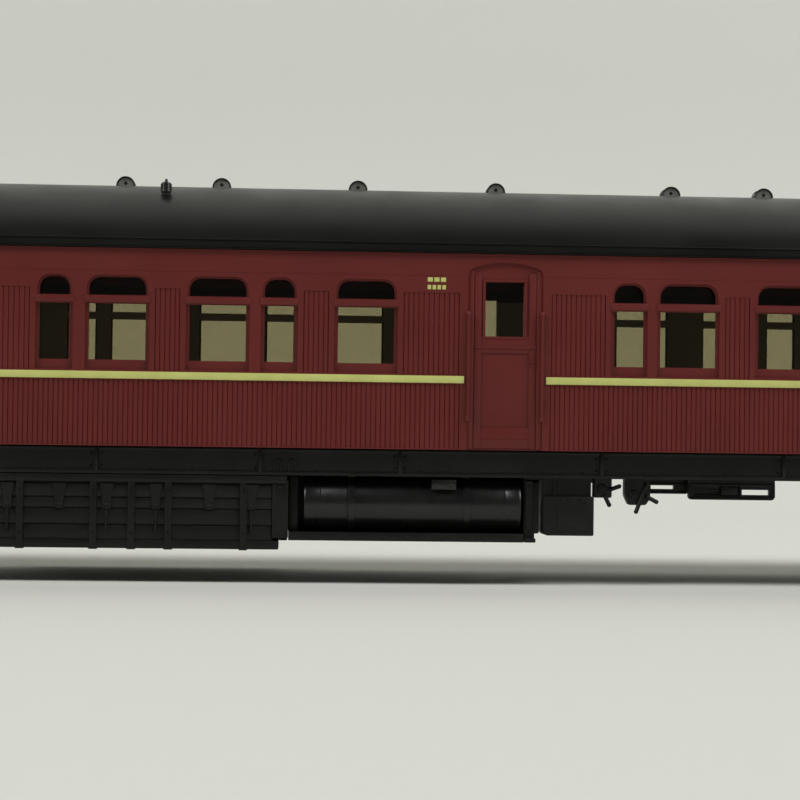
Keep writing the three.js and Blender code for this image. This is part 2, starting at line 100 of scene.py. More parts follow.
# A moulded or painted surface: two close colours in soft clouds, uneven gloss, a fine skin texture.
def surfaceMaterial(name, look):
    material, nodes, links = startMaterial(name)
    shader = nodes["Principled BSDF"]
    clouds = addNoise(nodes, links, look["cloudScale"], 4.0, look.get("stretch", (1, 1, 1)))
    colour = addRamp(nodes, links, clouds, look["dark"], look["light"])
    links.new(colour, shader.inputs["Base Color"])
    gloss = addNoise(nodes, links, look["cloudScale"] * 2.3, 3.0)
    low, high = look["roughness"]
    links.new(addRamp(nodes, links, gloss, grey(low), grey(high)), shader.inputs["Roughness"])
    grain = addNoise(nodes, links, look["grainScale"], 2.0, look.get("stretch", (1, 1, 1)))
    bump = nodes.new("ShaderNodeBump")
    bump.inputs["Strength"].default_value = look["grain"]
    bump.inputs["Distance"].default_value = 0.00005
    links.new(grain, bump.inputs["Height"])
    links.new(bump.outputs["Normal"], shader.inputs["Normal"])
    shader.inputs["Metallic"].default_value = look.get("metallic", 0.0)
    shader.inputs["Specular IOR Level"].default_value = look.get("specular", 0.5)
    if "paintedInteriorLight" in look:
        # painted light: the surface glows faintly to stand for the daylight that reaches the interior through
        # the windows
        links.new(colour, shader.inputs["Emission Color"])
        shader.inputs["Emission Strength"].default_value = look["paintedInteriorLight"]
    return material


looks = {
    "maroonPaint": {
        "dark": linear(102, 36, 32), "light": linear(109, 40, 36), "roughness": (0.42, 0.52),
        "cloudScale": 90, "grainScale": 7000, "grain": 0.12, "specular": 0.3,
    },
    "creamPaint": {
        "dark": linear(204, 207, 119), "light": linear(215, 219, 131), "roughness": (0.4, 0.5),
        "cloudScale": 300, "grainScale": 9000, "grain": 0.1, "specular": 0.4,
    },
    "roofPaint": {
        "dark": linear(13, 14, 12), "light": linear(17, 18, 15), "roughness": (0.30, 0.38),
        "cloudScale": 60, "grainScale": 5000, "grain": 0.16, "specular": 0.32,
    },
    "ventPaint": {
        "dark": linear(24, 25, 22), "light": linear(34, 35, 32), "roughness": (0.35, 0.5),
        "cloudScale": 500, "grainScale": 8000, "grain": 0.12,
    },
    "ventFace": {
        "dark": linear(150, 154, 142), "light": linear(170, 173, 162), "roughness": (0.45, 0.6),
        "cloudScale": 900, "grainScale": 8000, "grain": 0.2, "specular": 0.3,
    },
    # pale lining: partly its own colour, partly painted light; the colour is lightened and glows faintly for
    # the daylight that reaches the interior through the windows
    "liningPlasticWithPaintedLight": {
        "dark": linear(168, 152, 138), "light": linear(184, 169, 154), "roughness": (0.5, 0.65),
        "cloudScale": 120, "grainScale": 6000, "grain": 0.15, "specular": 0.3, "paintedInteriorLight": 0.05,
    },
    "underframePlastic": {
        "dark": linear(15, 15, 14), "light": linear(22, 22, 20), "roughness": (0.38, 0.52),
        "cloudScale": 140, "grainScale": 6000, "grain": 0.18, "specular": 0.3,
    },
    "tankPlastic": {
        "dark": linear(18, 19, 18), "light": linear(23, 24, 22), "roughness": (0.26, 0.36),
        "cloudScale": 200, "grainScale": 6000, "grain": 0.08, "specular": 0.5,
    },
    "couplerPlastic": {
        "dark": linear(26, 26, 25), "light": linear(34, 33, 32), "roughness": (0.45, 0.6),
        "cloudScale": 500, "grainScale": 9000, "grain": 0.15,
    },
    "gangwayRubber": {
        "dark": linear(20, 20, 20), "light": linear(31, 30, 29), "roughness": (0.7, 0.85),
        "cloudScale": 400, "grainScale": 4000, "grain": 0.35, "specular": 0.25,
    },
    "brightSteel": {
        "dark": linear(150, 150, 148), "light": linear(190, 190, 187), "roughness": (0.22, 0.36),
        "cloudScale": 700, "grainScale": 6000, "grain": 0.12, "metallic": 1.0, "stretch": (1, 8, 1),
    },
    "weightSteel": {
        "dark": linear(92, 90, 87), "light": linear(122, 120, 116), "roughness": (0.4, 0.6),
        "cloudScale": 120, "grainScale": 3500, "grain": 0.25, "metallic": 1.0, "stretch": (1, 6, 1),
    },
    "wheelMetal": {
        "dark": linear(62, 58, 54), "light": linear(92, 88, 82), "roughness": (0.3, 0.45),
        "cloudScale": 500, "grainScale": 5000, "grain": 0.15, "metallic": 1.0,
    },
}
finish = {name: surfaceMaterial(name, look) for name, look in looks.items()}

glazingLook = {"tint": (0.54, 0.51, 0.375, 1.0), "roughness": 0.02, "ior": 1.45, "ripple": 0.04}


def glazingMaterial(look):
    material, nodes, links = startMaterial("tintedGlazing")
    shader = nodes["Principled BSDF"]
    shader.inputs["Base Color"].default_value = look["tint"]
    shader.inputs["Transmission Weight"].default_value = 1.0
    shader.inputs["Roughness"].default_value = look["roughness"]
    shader.inputs["IOR"].default_value = look["ior"]
    ripple = addNoise(nodes, links, 120, 1.0)
    bump = nodes.new("ShaderNodeBump")
    bump.inputs["Strength"].default_value = look["ripple"]
    bump.inputs["Distance"].default_value = 0.00005
    links.new(ripple, bump.inputs["Height"])
    links.new(bump.outputs["Normal"], shader.inputs["Normal"])
    return material


finish["tintedGlazing"] = glazingMaterial(glazingLook)
print("materials made")


def bevelEdges(bm, edges, offset, segments=2):
    return bmesh.ops.bevel(bm, geom=edges, offset=offset, offset_type="OFFSET", affect="EDGES",
                           segments=segments, profile=0.5, material=-1)


def edgesOf(verts):
    chosen = set(verts)
    return list({edge for vert in verts for edge in vert.link_edges if set(edge.verts) <= chosen})


# A box between two corners in any order, with an optional turn about its middle and rounded edges.
def addBox(bm, x0, x1, y0, y1, z0, z1, bevel=0.0, segments=1, turn=None):
    verts = bmesh.ops.create_cube(bm, size=1)["verts"]
    size = Vector((abs(x1 - x0), abs(y1 - y0), abs(z1 - z0)))
    middle = Vector(((x0 + x1) / 2, (y0 + y1) / 2, (z0 + z1) / 2))
    bmesh.ops.scale(bm, vec=size, verts=verts)
    if turn:
        bmesh.ops.rotate(bm, cent=(0, 0, 0), matrix=Matrix.Rotation(turn[0], 3, turn[1]), verts=verts)
    bmesh.ops.translate(bm, vec=middle, verts=verts)
    if bevel:
        bevelEdges(bm, edgesOf(verts), bevel, segments)
    return verts


def arc(centreU, centreV, radius, start, end, steps):
    turns = [start + (end - start) * i / steps for i in range(steps + 1)]
    return [(centreU + radius * cos(a), centreV + radius * sin(a)) for a in turns]


directions = {"X": Vector((1, 0, 0)), "Y": Vector((0, 1, 0)), "Z": Vector((0, 0, 1))}


# A flat outline pushed along an axis: it is given in X and Z for Y, in Y and Z for X, in X and Y for Z.
def addPrism(bm, outline, start, end, bevel=0.0, segments=1, axis="Y"):
    place = {"X": lambda u, v: (start, u, v), "Y": lambda u, v: (u, start, v), "Z": lambda u, v: (u, v, start)}
    face = bm.faces.new([bm.verts.new(place[axis](u, v)) for u, v in outline])
    made = bmesh.ops.extrude_face_region(bm, geom=[face])["geom"]
    pushed = [item for item in made if isinstance(item, bmesh.types.BMVert)]
    bmesh.ops.translate(bm, vec=directions[axis] * (end - start), verts=pushed)
    verts = list(face.verts) + pushed
    faces = list({f for vert in verts for f in vert.link_faces})
    bmesh.ops.recalc_face_normals(bm, faces=faces)
    if bevel:
        bevelEdges(bm, edgesOf(verts), bevel, segments)
    return verts


# A turned shape: profile points are (radius, place along the axis), spun all the way round.
def addTurned(bm, profile, axis, centre, steps=32):
    along = directions[axis]
    out = directions["X" if axis == "Z" else "Z"]
    verts = [bm.verts.new(Vector(centre) + out * r + along * a) for r, a in profile]
    edges = [bm.edges.new(pair) for pair in zip(verts, verts[1:])]
    bmesh.ops.spin(bm, geom=verts + edges, cent=centre, axis=along, angle=2 * pi, steps=steps,
                   use_merge=True, use_duplicate=False)
    reached, frontier = set(verts), list(verts)
    while frontier:
        for edge in frontier.pop().link_edges:
            for vert in edge.verts:
                if vert not in reached:
                    reached.add(vert)
                    frontier.append(vert)
    bmesh.ops.remove_doubles(bm, verts=list(reached), dist=0.0005)
    alive = [vert for vert in reached if vert.is_valid]
    bmesh.ops.recalc_face_normals(bm, faces=list({f for vert in alive for f in vert.link_faces}))
    return alive


def addRod(bm, radius, start, end, axis, centre, steps=16, rounding=0.0):
    if rounding:
        profile = [(0, start), (radius - rounding, start), (radius, start + rounding),
                   (radius, end - rounding), (radius - rounding, end), (0, end)]
    else:
        profile = [(0, start), (radius, start), (radius, end), (0, end)]
    return addTurned(bm, profile, axis, centre, steps)


def addBall(bm, radius, centre, flatten=(1, 1, 1), steps=10):
    made = bmesh.ops.create_uvsphere(bm, u_segments=steps, v_segments=max(6, steps // 2), radius=radius)
    verts = made["verts"]
    bmesh.ops.scale(bm, vec=flatten, verts=verts)
    bmesh.ops.translate(bm, vec=centre, verts=verts)
    return verts


def patternMesh(build):
    bm = bmesh.new()
    build(bm)
    mesh = bpy.data.meshes.new("pattern")
    bm.to_mesh(mesh)
    bm.free()
    return mesh


# Adds one copy of a small pattern mesh to the piece.
def stamp(bm, pattern, matrix):
    placed = pattern.copy()
    placed.transform(matrix)
    bm.from_mesh(placed)
    bpy.data.meshes.remove(placed)


def mirrorAcross(bm):
    copies = bmesh.ops.duplicate(bm, geom=bm.verts[:] + bm.edges[:] + bm.faces[:])["geom"]
    verts = [item for item in copies if isinstance(item, bmesh.types.BMVert)]
    faces = [item for item in copies if isinstance(item, bmesh.types.BMFace)]
    bmesh.ops.scale(bm, vec=(1, -1, 1), verts=verts)
    bmesh.ops.reverse_faces(bm, faces=faces)


def makeObject(bm, name):
    mesh = bpy.data.meshes.new(name)
    bm.to_mesh(mesh)
    bm.free()
    made = bpy.data.objects.new(name, mesh)
    scene.collection.objects.link(made)
    return made


def carve(target, cutter):
    tool = target.modifiers.new("openings", "BOOLEAN")
    tool.operation = "DIFFERENCE"
    tool.solver = "EXACT"
    tool.object = cutter
    graph = bpy.context.evaluated_depsgraph_get()
    carved = bpy.data.meshes.new_from_object(target.evaluated_get(graph))
    target.modifiers.clear()
    target.data = carved
    bpy.data.objects.remove(cutter)


def finishPiece(source, name, material, body, nodes=(), sharp=35):
    piece = makeObject(source, name) if isinstance(source, bmesh.types.BMesh) else source
    mesh = piece.data
    mesh.transform(toMetres)
    mesh.materials.clear()
    mesh.materials.append(finish[material])
    mesh.polygons.foreach_set("use_smooth", [True] * len(mesh.polygons))
    mesh.set_sharp_from_angle(angle=radians(sharp))
    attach(piece, body)
    if nodes:
        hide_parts(*nodes)
    return piece


view = {"x": -12.8, "y": -254.2, "z": 15.7, "yaw": 3.07, "pitch": 1.1, "roll": 0.72, "lens": 93.8}


def makeCamera(look):
    data = bpy.data.cameras.new("coachCamera")
    data.lens = look["lens"]
    data.sensor_width = 36
    data.clip_start = 0.01
    camera = bpy.data.objects.new("coachCamera", data)
    scene.collection.objects.link(camera)
    place = toMetres @ Vector((look["x"], look["y"], look["z"]))
    heading = Matrix.Rotation(-radians(look["yaw"]), 4, "Z")
    tilt = Matrix.Rotation(radians(90 + look["pitch"]), 4, "X")
    roll = Matrix.Rotation(radians(look["roll"]), 4, "Z")
    camera.matrix_world = Matrix.Translation(place) @ heading @ tilt @ roll
    scene.camera = camera


studio = {
    "width": 6.0, "front": -4.0, "back": 0.34, "bend": 0.12, "height": 1.6,
    "paper": linear(228, 229, 222), "room": linear(205, 207, 199), "ambient": 0.06,
}


def makeSweep(look):
    bm = bmesh.new()
    half = look["width"] / 2
    corner = arc(look["back"] - look["bend"], look["bend"], look["bend"], -pi / 2, 0, 12)
    line = [(look["front"], 0.0)] + corner + [(look["back"], look["height"])]
    verts = [bm.verts.new((-half, y, z)) for y, z in line]
    edges = [bm.edges.new(pair) for pair in zip(verts, verts[1:])]
    made = bmesh.ops.extrude_edge_only(bm, edges=edges)["geom"]
    pushed = [item for item in made if isinstance(item, bmesh.types.BMVert)]
    bmesh.ops.translate(bm, vec=(look["width"], 0, 0), verts=pushed)
    sweep = makeObject(bm, "studioSweep")
    sweep.data.polygons.foreach_set("use_smooth", [True] * len(sweep.data.polygons))
    material, nodes, links = startMaterial("palePaper")
    shader = nodes["Principled BSDF"]
    shader.inputs["Base Color"].default_value = look["paper"]
    shader.inputs["Roughness"].default_value = 0.9
    shader.inputs["Specular IOR Level"].default_value = 0.1
    # seen from behind, the upright part lets the view through to the coach
    geometry, path = nodes.new("ShaderNodeNewGeometry"), nodes.new("ShaderNodeLightPath")
    hidden = nodes.new("ShaderNodeMath")
    hidden.operation = "MULTIPLY"
    links.new(geometry.outputs["Backfacing"], hidden.inputs[0])
    links.new(path.outputs["Is Camera Ray"], hidden.inputs[1])
    clear, mix = nodes.new("ShaderNodeBsdfTransparent"), nodes.new("ShaderNodeMixShader")
    links.new(hidden.outputs[0], mix.inputs["Fac"])
    links.new(shader.outputs["BSDF"], mix.inputs[1])
    links.new(clear.outputs["BSDF"], mix.inputs[2])
    links.new(mix.outputs["Shader"], nodes["Material Output"].inputs["Surface"])
    sweep.data.materials.append(material)


lamps = [
    {"name": "leftSide", "at": (-1.25, -0.6, 1.15), "aim": (0, 0.05, 0.03), "size": (0.7, 0.7), "power": 14.5},
    {"name": "rightSide", "at": (1.25, -0.6, 1.15), "aim": (0, 0.05, 0.03), "size": (0.7, 0.7), "power": 16.5},
]


def makeLamps():
    for lamp in lamps:
        data = bpy.data.lights.new(lamp["name"], "AREA")
        data.shape = "RECTANGLE"
        data.size, data.size_y = lamp["size"]
        data.energy = lamp["power"]
        light = bpy.data.objects.new(lamp["name"], data)
        light.location = lamp["at"]
        heading = Vector(lamp["aim"]) - Vector(lamp["at"])
        light.rotation_euler = heading.to_track_quat("-Z", "Y").to_euler()
        scene.collection.objects.link(light)
    world = bpy.data.worlds.new("softRoom")
    world.use_nodes = True
    nodes, links = world.node_tree.nodes, world.node_tree.links
    ambient = nodes["Background"]
    ambient.inputs["Color"].default_value = (0.93, 0.95, 0.92, 1)
    ambient.inputs["Strength"].default_value = studio["ambient"]
    # the pale room shows only where a view runs past the paper
    room, path = nodes.new("ShaderNodeBackground"), nodes.new("ShaderNodeLightPath")
    mix = nodes.new("ShaderNodeMixShader")
    room.inputs["Color"].default_value = studio["room"]
    links.new(path.outputs["Is Camera Ray"], mix.inputs["Fac"])
    links.new(ambient.outputs["Background"], mix.inputs[1])
    links.new(room.outputs["Background"], mix.inputs[2])
    links.new(mix.outputs["Shader"], nodes["World Output"].inputs["Surface"])
    scene.world = world


makeCamera(view)
makeSweep(studio)
makeLamps()
print("camera, floor and lamps placed")


bodyLow, bodyHigh = nodeBox("body_shell")
face = bodyHigh.y  # outer face of a side

side = {
    "coreFace": face - 0.35, "inner": face - 1.0, "bottom": bodyLow.z, "top": bodyHigh.z,
    "sill": 24.42, "sashBottom": 23.35, "sashTop": 30.8, "lightBottom": 31.75, "lightTop": 33.8,
    "sashMargin": 0.42, "wideHalf": 3.2, "narrowHalf": 1.68, "lightCorner": 1.25,
    "rebate": 0.2, "rebateStep": 0.25, "liningTop": 33.7,
    "boardTop": 32.6, "boardBottom": 14.8, "boardPitch": 0.563, "boardGroove": 0.16,
    "wide": [-102.6, -91.3, -67.35, -56.05, -32.3, -20.93, -4.03, 33.1, 44.5, 68.3, 79.6, 96.5],
    "narrow": [-109.7, -84.35, -74.45, -49.1, -39.4, -13.93, 26.25, 51.4, 61.3, 86.6, 103.5],
    "doors": [-118.3, 11.95, 118.3],
}
stripe = {"bottom": 22.27, "top": 23.1, "proud": 0.13, "railProud": 0.07, "doorGap": 4.65}
door = {
    "half": 4.3, "spring": 35.25, "crown": 36.2, "shoulder": 0.7, "leafFace": face - 0.35, "glassLeft": -2.3,
    "glassRight": 2.15, "glassBottom": 27.7, "glassTop": 33.95, "ledge": 26.3,
    "panelBottom": 17.25, "panelTop": 25.8, "panelHalf": 2.75, "kick": 16.0,
}
sashes = [(x, side["wideHalf"]) for x in side["wide"]] + [(x, side["narrowHalf"]) for x in side["narrow"]]


def boxOutline(x0, x1, z0, z1):
    return [(x0, z0), (x1, z0), (x1, z1), (x0, z1)]


# A fanlight has a straight sill and rounded shoulders; grow makes it larger all round.
def fanlightOutline(centre, half, grow=0.0):
    reach = half + grow
    radius = min(half, side["lightCorner"]) + grow
    top = side["lightTop"] + grow
    bottom = side["lightBottom"]
    right = arc(centre + reach - radius, top - radius, radius, 0, pi / 2, 8)
    left = arc(centre - reach + radius, top - radius, radius, pi / 2, pi, 8)
    if abs(right[-1][0] - left[0][0]) < 0.001:
        left = left[1:]
    return [(centre - reach, bottom), (centre + reach, bottom)] + right + left


# A doorway has straight jambs, eased shoulders and a flat arch.
def doorwayOutline(centre, bottom, grow=0.0):
    half = door["half"] + grow
    rise = door["crown"] - door["spring"]
    radius = (half * half + rise * rise) / (2 * rise)
    spread = asin(half / radius)
    crown = door["crown"] + grow
    curve = arc(centre, crown - radius, radius, pi / 2 - spread, pi / 2 + spread, 18)[1:-1]
    ease = door["shoulder"]
    right = [(centre + half, door["spring"] - ease), (centre + half - 0.1 * ease, door["spring"] - 0.3 * ease)]
    left = [(2 * centre - u, v) for u, v in reversed(right)]
    return [(centre - half, bottom), (centre + half, bottom)] + right + curve + left


# The stretches of side between the groups of windows, which are boarded above the waist.
def boardedPanels():
    margin = side["sashMargin"] + 0.65
    groups = []
    for x, half in sorted(sashes):
        low, high = x - half - margin, x + half + margin
        if groups and low - groups[-1][1] < 1.0:
            groups[-1][1] = high
        else:
            groups.append([low, high])
    for x in side["doors"]:
        groups.append([x - door["half"] - 1.0, x + door["half"] + 1.0])
    groups.sort()
    return [(a[1], b[0]) for a, b in zip(groups, groups[1:]) if b[0] - a[1] > 1.2]


def makeWalls():
    low, high = bodyLow.x, bodyHigh.x
    core = bmesh.new()
    addBox(core, low, high, -side["inner"], -side["coreFace"], side["bottom"], side["top"])
    coreCuts, innerCuts, skinCuts = bmesh.new(), bmesh.new(), bmesh.new()
    through = (-face - 1, -face + 3)
    behind = (-side["coreFace"] + side["rebate"], -face + 3)
    sashSpan = (side["sill"] - 0.2, side["sashTop"] + 0.05)
    lightSpan = (side["lightBottom"] - 0.05, side["lightTop"] + 0.2)
    for x, half in sashes:
        wider = half + side["rebateStep"]
        addPrism(coreCuts, boxOutline(x - half, x + half, side["sill"], side["sashTop"]), *through)
        addPrism(coreCuts, fanlightOutline(x, half), *through)
        for z0, z1 in (sashSpan, lightSpan):
            addPrism(innerCuts, boxOutline(x - wider, x + wider, z0, z1), *behind)
        recess = half + side["sashMargin"]
        addPrism(skinCuts, boxOutline(x - recess, x + recess, side["sashBottom"], side["sashTop"]), *through)
        addPrism(skinCuts, fanlightOutline(x, half, 0.25), *through)
    for x in side["doors"]:
        addPrism(coreCuts, boxOutline(x + door["glassLeft"], x + door["glassRight"],
                                      door["glassBottom"], door["glassTop"]), *through)
        addPrism(skinCuts, doorwayOutline(x, side["bottom"] - 1), *through)
    for x0, x1 in boardedPanels():
        addPrism(skinCuts, boxOutline(x0, x1, stripe["top"] + 0.1, side["boardTop"]), *through)
    stops = [low + 0.9] + [x + sign * (door["half"] + 0.9) for x in side["doors"] for sign in (-1, 1)]
    stops = sorted(stops + [high - 0.9])
    for x0, x1 in zip(stops[::2], stops[1::2]):
        if x1 - x0 > 1.2:
            addPrism(skinCuts, boxOutline(x0, x1, side["boardBottom"], stripe["bottom"] - 0.08), *through)
    skin = bmesh.new()
    addBox(skin, low, high, -side["coreFace"], -face, side["bottom"], side["top"])
    lining = bmesh.new()
    addBox(lining, low + 1.1, high - 1.1, -side["inner"], -side["inner"] + 0.08, side["bottom"] + 1.5,
           side["liningTop"])
    pieces = [makeObject(core, "bodyCore"), makeObject(skin, "bodySkin"), makeObject(lining, "bodyLining")]
    carve(pieces[0], makeObject(coreCuts.copy(), "coreCuts"))
    carve(pieces[0], makeObject(innerCuts.copy(), "innerCuts"))
    carve(pieces[1], makeObject(skinCuts, "skinCuts"))
    carve(pieces[2], makeObject(coreCuts, "liningCuts"))
    carve(pieces[2], makeObject(innerCuts, "liningInnerCuts"))
    for piece in pieces:
        bm = bmesh.new()
        bm.from_mesh(piece.data)
        mirrorAcross(bm)
        if piece.name == "bodyCore":
            for end in (-1, 1):
                outer = end * high
                addBox(bm, outer, outer - end, -face + 0.35, face - 0.35, side["bottom"], side["top"])
        bm.to_mesh(piece.data)
        bm.free()
    finishPiece(pieces[0], "bodyCore", "maroonPaint", "coach_body", ["body_shell"])
    finishPiece(pieces[1], "bodySkin", "maroonPaint", "coach_body", ())
    finishPiece(pieces[2], "bodyLining", "liningPlasticWithPaintedLight", "coach_body")
    return stops


# One matchboard: a flat strip with both long front edges cut back to leave a V groove.
def makeBoards(stops):
    groove = side["boardGroove"]
    pitch = side["boardPitch"]
    depth = face - side["coreFace"] - 0.06

    def buildBoard(bm):
        verts = addBox(bm, -pitch / 2 + 0.015, pitch / 2 - 0.015, 0, -depth, 0, 1)
        front = [e for e in edgesOf(verts) if all(v.co.y < -depth + 0.001 for v in e.verts)
                 and abs(e.verts[0].co.x - e.verts[1].co.x) < 0.001]
        bevelEdges(bm, front, groove * 0.5, 1)

    board = patternMesh(buildBoard)
    bm = bmesh.new()
    fields = [(x0, x1, stripe["top"] + 0.1, side["boardTop"]) for x0, x1 in boardedPanels()]
    fields += [(x0, x1, side["boardBottom"], stripe["bottom"] - 0.08)
               for x0, x1 in zip(stops[::2], stops[1::2]) if x1 - x0 > 1.2]
    for x0, x1, z0, z1 in fields:
        count = max(1, round((x1 - x0) / pitch))
        step = (x1 - x0) / count
        size = Matrix.Diagonal((step / pitch, 1, z1 - z0, 1))
        for i in range(count):
            place = Matrix.Translation((x0 + step * (i + 0.5), -side["coreFace"], z0))
            stamp(bm, board, place @ size)
    mirrorAcross(bm)
    finishPiece(bm, "matchboards", "maroonPaint", "coach_body", (), 20)


# The rounded bead round each fanlight, and the drip bead along the letterboard.
def makeWindowBeads():
    bm = bmesh.new()
    for x, half in sashes:
        outline = fanlightOutline(x, half, 0.28)
        ring = bm.faces.new([bm.verts.new((u, -face + 0.3, v)) for u, v in outline])
        outerFace = bmesh.ops.inset_region(bm, faces=[ring], thickness=0.26, use_even_offset=True)["faces"]
        bmesh.ops.delete(bm, geom=[ring], context="FACES")
        made = bmesh.ops.extrude_face_region(bm, geom=outerFace)["geom"]
        pushed = [item for item in made if isinstance(item, bmesh.types.BMVert)]
        bmesh.ops.translate(bm, vec=(0, -0.36, 0), verts=pushed)
        rim = [e for e in edgesOf(pushed) if len(e.link_faces) == 2
               and abs(e.link_faces[0].normal.y - e.link_faces[1].normal.y) > 0.5]
        bevelEdges(bm, rim, 0.08, 2)
        # transom lip under the fanlight
        reach = half + side["sashMargin"] + 0.1
        addBox(bm, x - reach, x + reach, -face + 0.1, -face - 0.1, side["sashTop"] + 0.12,
               side["lightBottom"] - 0.1, 0.06, 2)
    bmesh.ops.recalc_face_normals(bm, faces=bm.faces[:])
    for x0, x1 in letterboardRuns():
        addBox(bm, x0, x1, -face + 0.1, -face - 0.03, 34.55, 34.66, 0.02)
    mirrorAcross(bm)
    finishPiece(bm, "windowBeads", "maroonPaint", "coach_body", ())


def letterboardRuns():
    ends = [bodyLow.x + 0.4] + [x + s * (door["half"] + 0.35) for x in side["doors"] for s in (-1, 1)]
    ends = sorted(ends + [bodyHigh.x - 0.4])
    return [(a, b) for a, b in zip(ends[::2], ends[1::2]) if b - a > 1]


def makeStripe():
    runs = [bodyLow.x] + [x + s * stripe["doorGap"] for x in side["doors"] for s in (-1, 1)] + [bodyHigh.x]
    runs = [(a, b) for a, b in zip(sorted(runs)[::2], sorted(runs)[1::2]) if b - a > 1]
    rail, paint = bmesh.new(), bmesh.new()
    for x0, x1 in runs:
        addBox(rail, x0, x1, -face + 0.2, -face - stripe["railProud"], stripe["bottom"] - 0.1,
               stripe["top"] + 0.12, 0.03)
        addBox(paint, x0 + 0.05, x1 - 0.05, -face, -face - stripe["proud"], stripe["bottom"],
               stripe["top"], 0.05, 2)
    mirrorAcross(rail)
    mirrorAcross(paint)
    finishPiece(rail, "waistRail", "maroonPaint", "coach_body", ())
    finishPiece(paint, "waistStripe", "creamPaint", "coach_body")


# A door: bead round the arch, leaf with a glazed top, a ledge, one long panel and a kick board.
def makeDoors():
    bm = bmesh.new()
    leaf = -door["leafFace"]
    paneBottom, paneTop = door["glassBottom"], door["glassTop"]
    for x in side["doors"]:
        outline = doorwayOutline(x, side["bottom"] - 0.3, 0.22)
        ring = bm.faces.new([bm.verts.new((u, -face + 0.25, v)) for u, v in outline])
        band = bmesh.ops.inset_region(bm, faces=[ring], thickness=0.34, use_even_offset=True)["faces"]
        bmesh.ops.delete(bm, geom=[ring], context="FACES")
        made = bmesh.ops.extrude_face_region(bm, geom=band)["geom"]
        pushed = [item for item in made if isinstance(item, bmesh.types.BMVert)]
        bmesh.ops.translate(bm, vec=(0, -0.33, 0), verts=pushed)
        rim = [e for e in edgesOf(pushed) if len(e.link_faces) == 2
               and abs(e.link_faces[0].normal.y - e.link_faces[1].normal.y) > 0.5]
        bevelEdges(bm, rim, 0.1, 2)
        gone = [v for v in bm.verts if v.co.z < side["bottom"]]
        bmesh.ops.translate(bm, vec=(0, 0, 0.32), verts=gone)
        # stiles, rails and ledge on the leaf
        stile = door["panelHalf"]
        width = door["half"] - 0.75
        for edge in (-1, 1):
            addBox(bm, x + edge * stile, x + edge * width, leaf + 0.1, leaf - 0.14, 14.9, 35.0, 0.05, 2)
            addBox(bm, x + edge * (width + 0.06), x + edge * (door["half"] + 0.06), leaf + 0.1, leaf - 0.2,
                   side["bottom"] + 0.1, door["spring"], 0.14, 3)
        addBox(bm, x - stile, x + stile, leaf + 0.1, leaf - 0.14, 14.9, door["panelBottom"], 0.05, 2)
        addBox(bm, x - stile, x + stile, leaf + 0.1, leaf - 0.14, door["panelTop"], paneBottom, 0.05, 2)
        addBox(bm, x - width, x + width, leaf + 0.05, leaf - 0.26, door["ledge"], door["ledge"] + 0.32,
               0.07, 2)
        addBox(bm, x - width, x + width, leaf + 0.05, leaf - 0.18, door["kick"] - 0.1, door["kick"] + 0.06,
               0.04)
        paneLeft, paneRight = x + door["glassLeft"], x + door["glassRight"]
        for z0, z1 in ((paneBottom - 0.3, paneBottom), (paneTop, paneTop + 0.3)):
            addBox(bm, paneLeft - 0.3, paneRight + 0.3, leaf + 0.1, leaf - 0.2, z0, z1, 0.05)
        for x0, x1 in ((paneLeft - 0.3, paneLeft), (paneRight, paneRight + 0.3)):
            addBox(bm, x0, x1, leaf + 0.1, leaf - 0.2, paneBottom, paneTop, 0.05)
        # door handle
        addBox(bm, x + 2.95, x + 3.25, leaf, leaf - 0.3, 24.2, 24.9, 0.08, 2)
        addBox(bm, x + 2.55, x + 3.25, leaf - 0.2, leaf - 0.36, 24.75, 24.95, 0.06, 2)
    mirrorAcross(bm)
    finishPiece(bm, "doorLeaves", "maroonPaint", "coach_body", ())


rail = {"offset": 4.25, "bottom": 18.2, "top": 30.25, "radius": 0.17}


def makeHandrails():
    bm = bmesh.new()
    for x in side["doors"]:
        for sign in (-1, 1):
            centre = (x + sign * rail["offset"], -face - 0.2, 0)
            addRod(bm, rail["radius"], rail["bottom"], rail["top"], "Z", centre, 12, 0.05)
            for z in (rail["bottom"], rail["top"]):
                addBall(bm, 0.3, (centre[0], centre[1] + 0.12, z), (1, 0.9, 1.15), 12)
    mirrorAcross(bm)
    finishPiece(bm, "doorHandrails", "maroonPaint", "coach_body", ())


# Two rows of plain cream dashes stand where a coach carries its number.
plate = {"left": 2.95, "right": 5.05, "gap": 0.16, "rows": [(33.85, 34.35, 3), (32.98, 33.48, 4)]}


def makePlate():
    bm = bmesh.new()
    for low, high, count in plate["rows"]:
        step = (plate["right"] - plate["left"] + plate["gap"]) / count
        for i in range(count):
            x = plate["left"] + step * i
            addBox(bm, x, x + step - plate["gap"], -face + 0.05, -face - 0.03, low, high, 0.02)
    mirrorAcross(bm)
    finishPiece(bm, "numberBars", "creamPaint", "coach_body")


boardStops = makeWalls()
makeBoards(boardStops)
makeWindowBeads()
makeStripe()
makeDoors()
makeHandrails()
makePlate()
for node in ("glazing_near", "glazing_far"):
    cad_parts[node].data.materials.clear()
    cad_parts[node].data.materials.append(finish["tintedGlazing"])
print("body made")

roofLow, roofHigh = nodeBox("roof")
roof = {
    "half": roofHigh.y, "eaves": 38.15, "ridge": roofHigh.z, "bottom": roofLow.z,
    "steps": 40, "endRound": 0.5, "gutters": [(37.22, 37.45), (38.0, 38.3)],
}
roofRise = roof["ridge"] - roof["eaves"]
roofRadius = (roof["half"] ** 2 + roofRise ** 2) / (2 * roofRise)


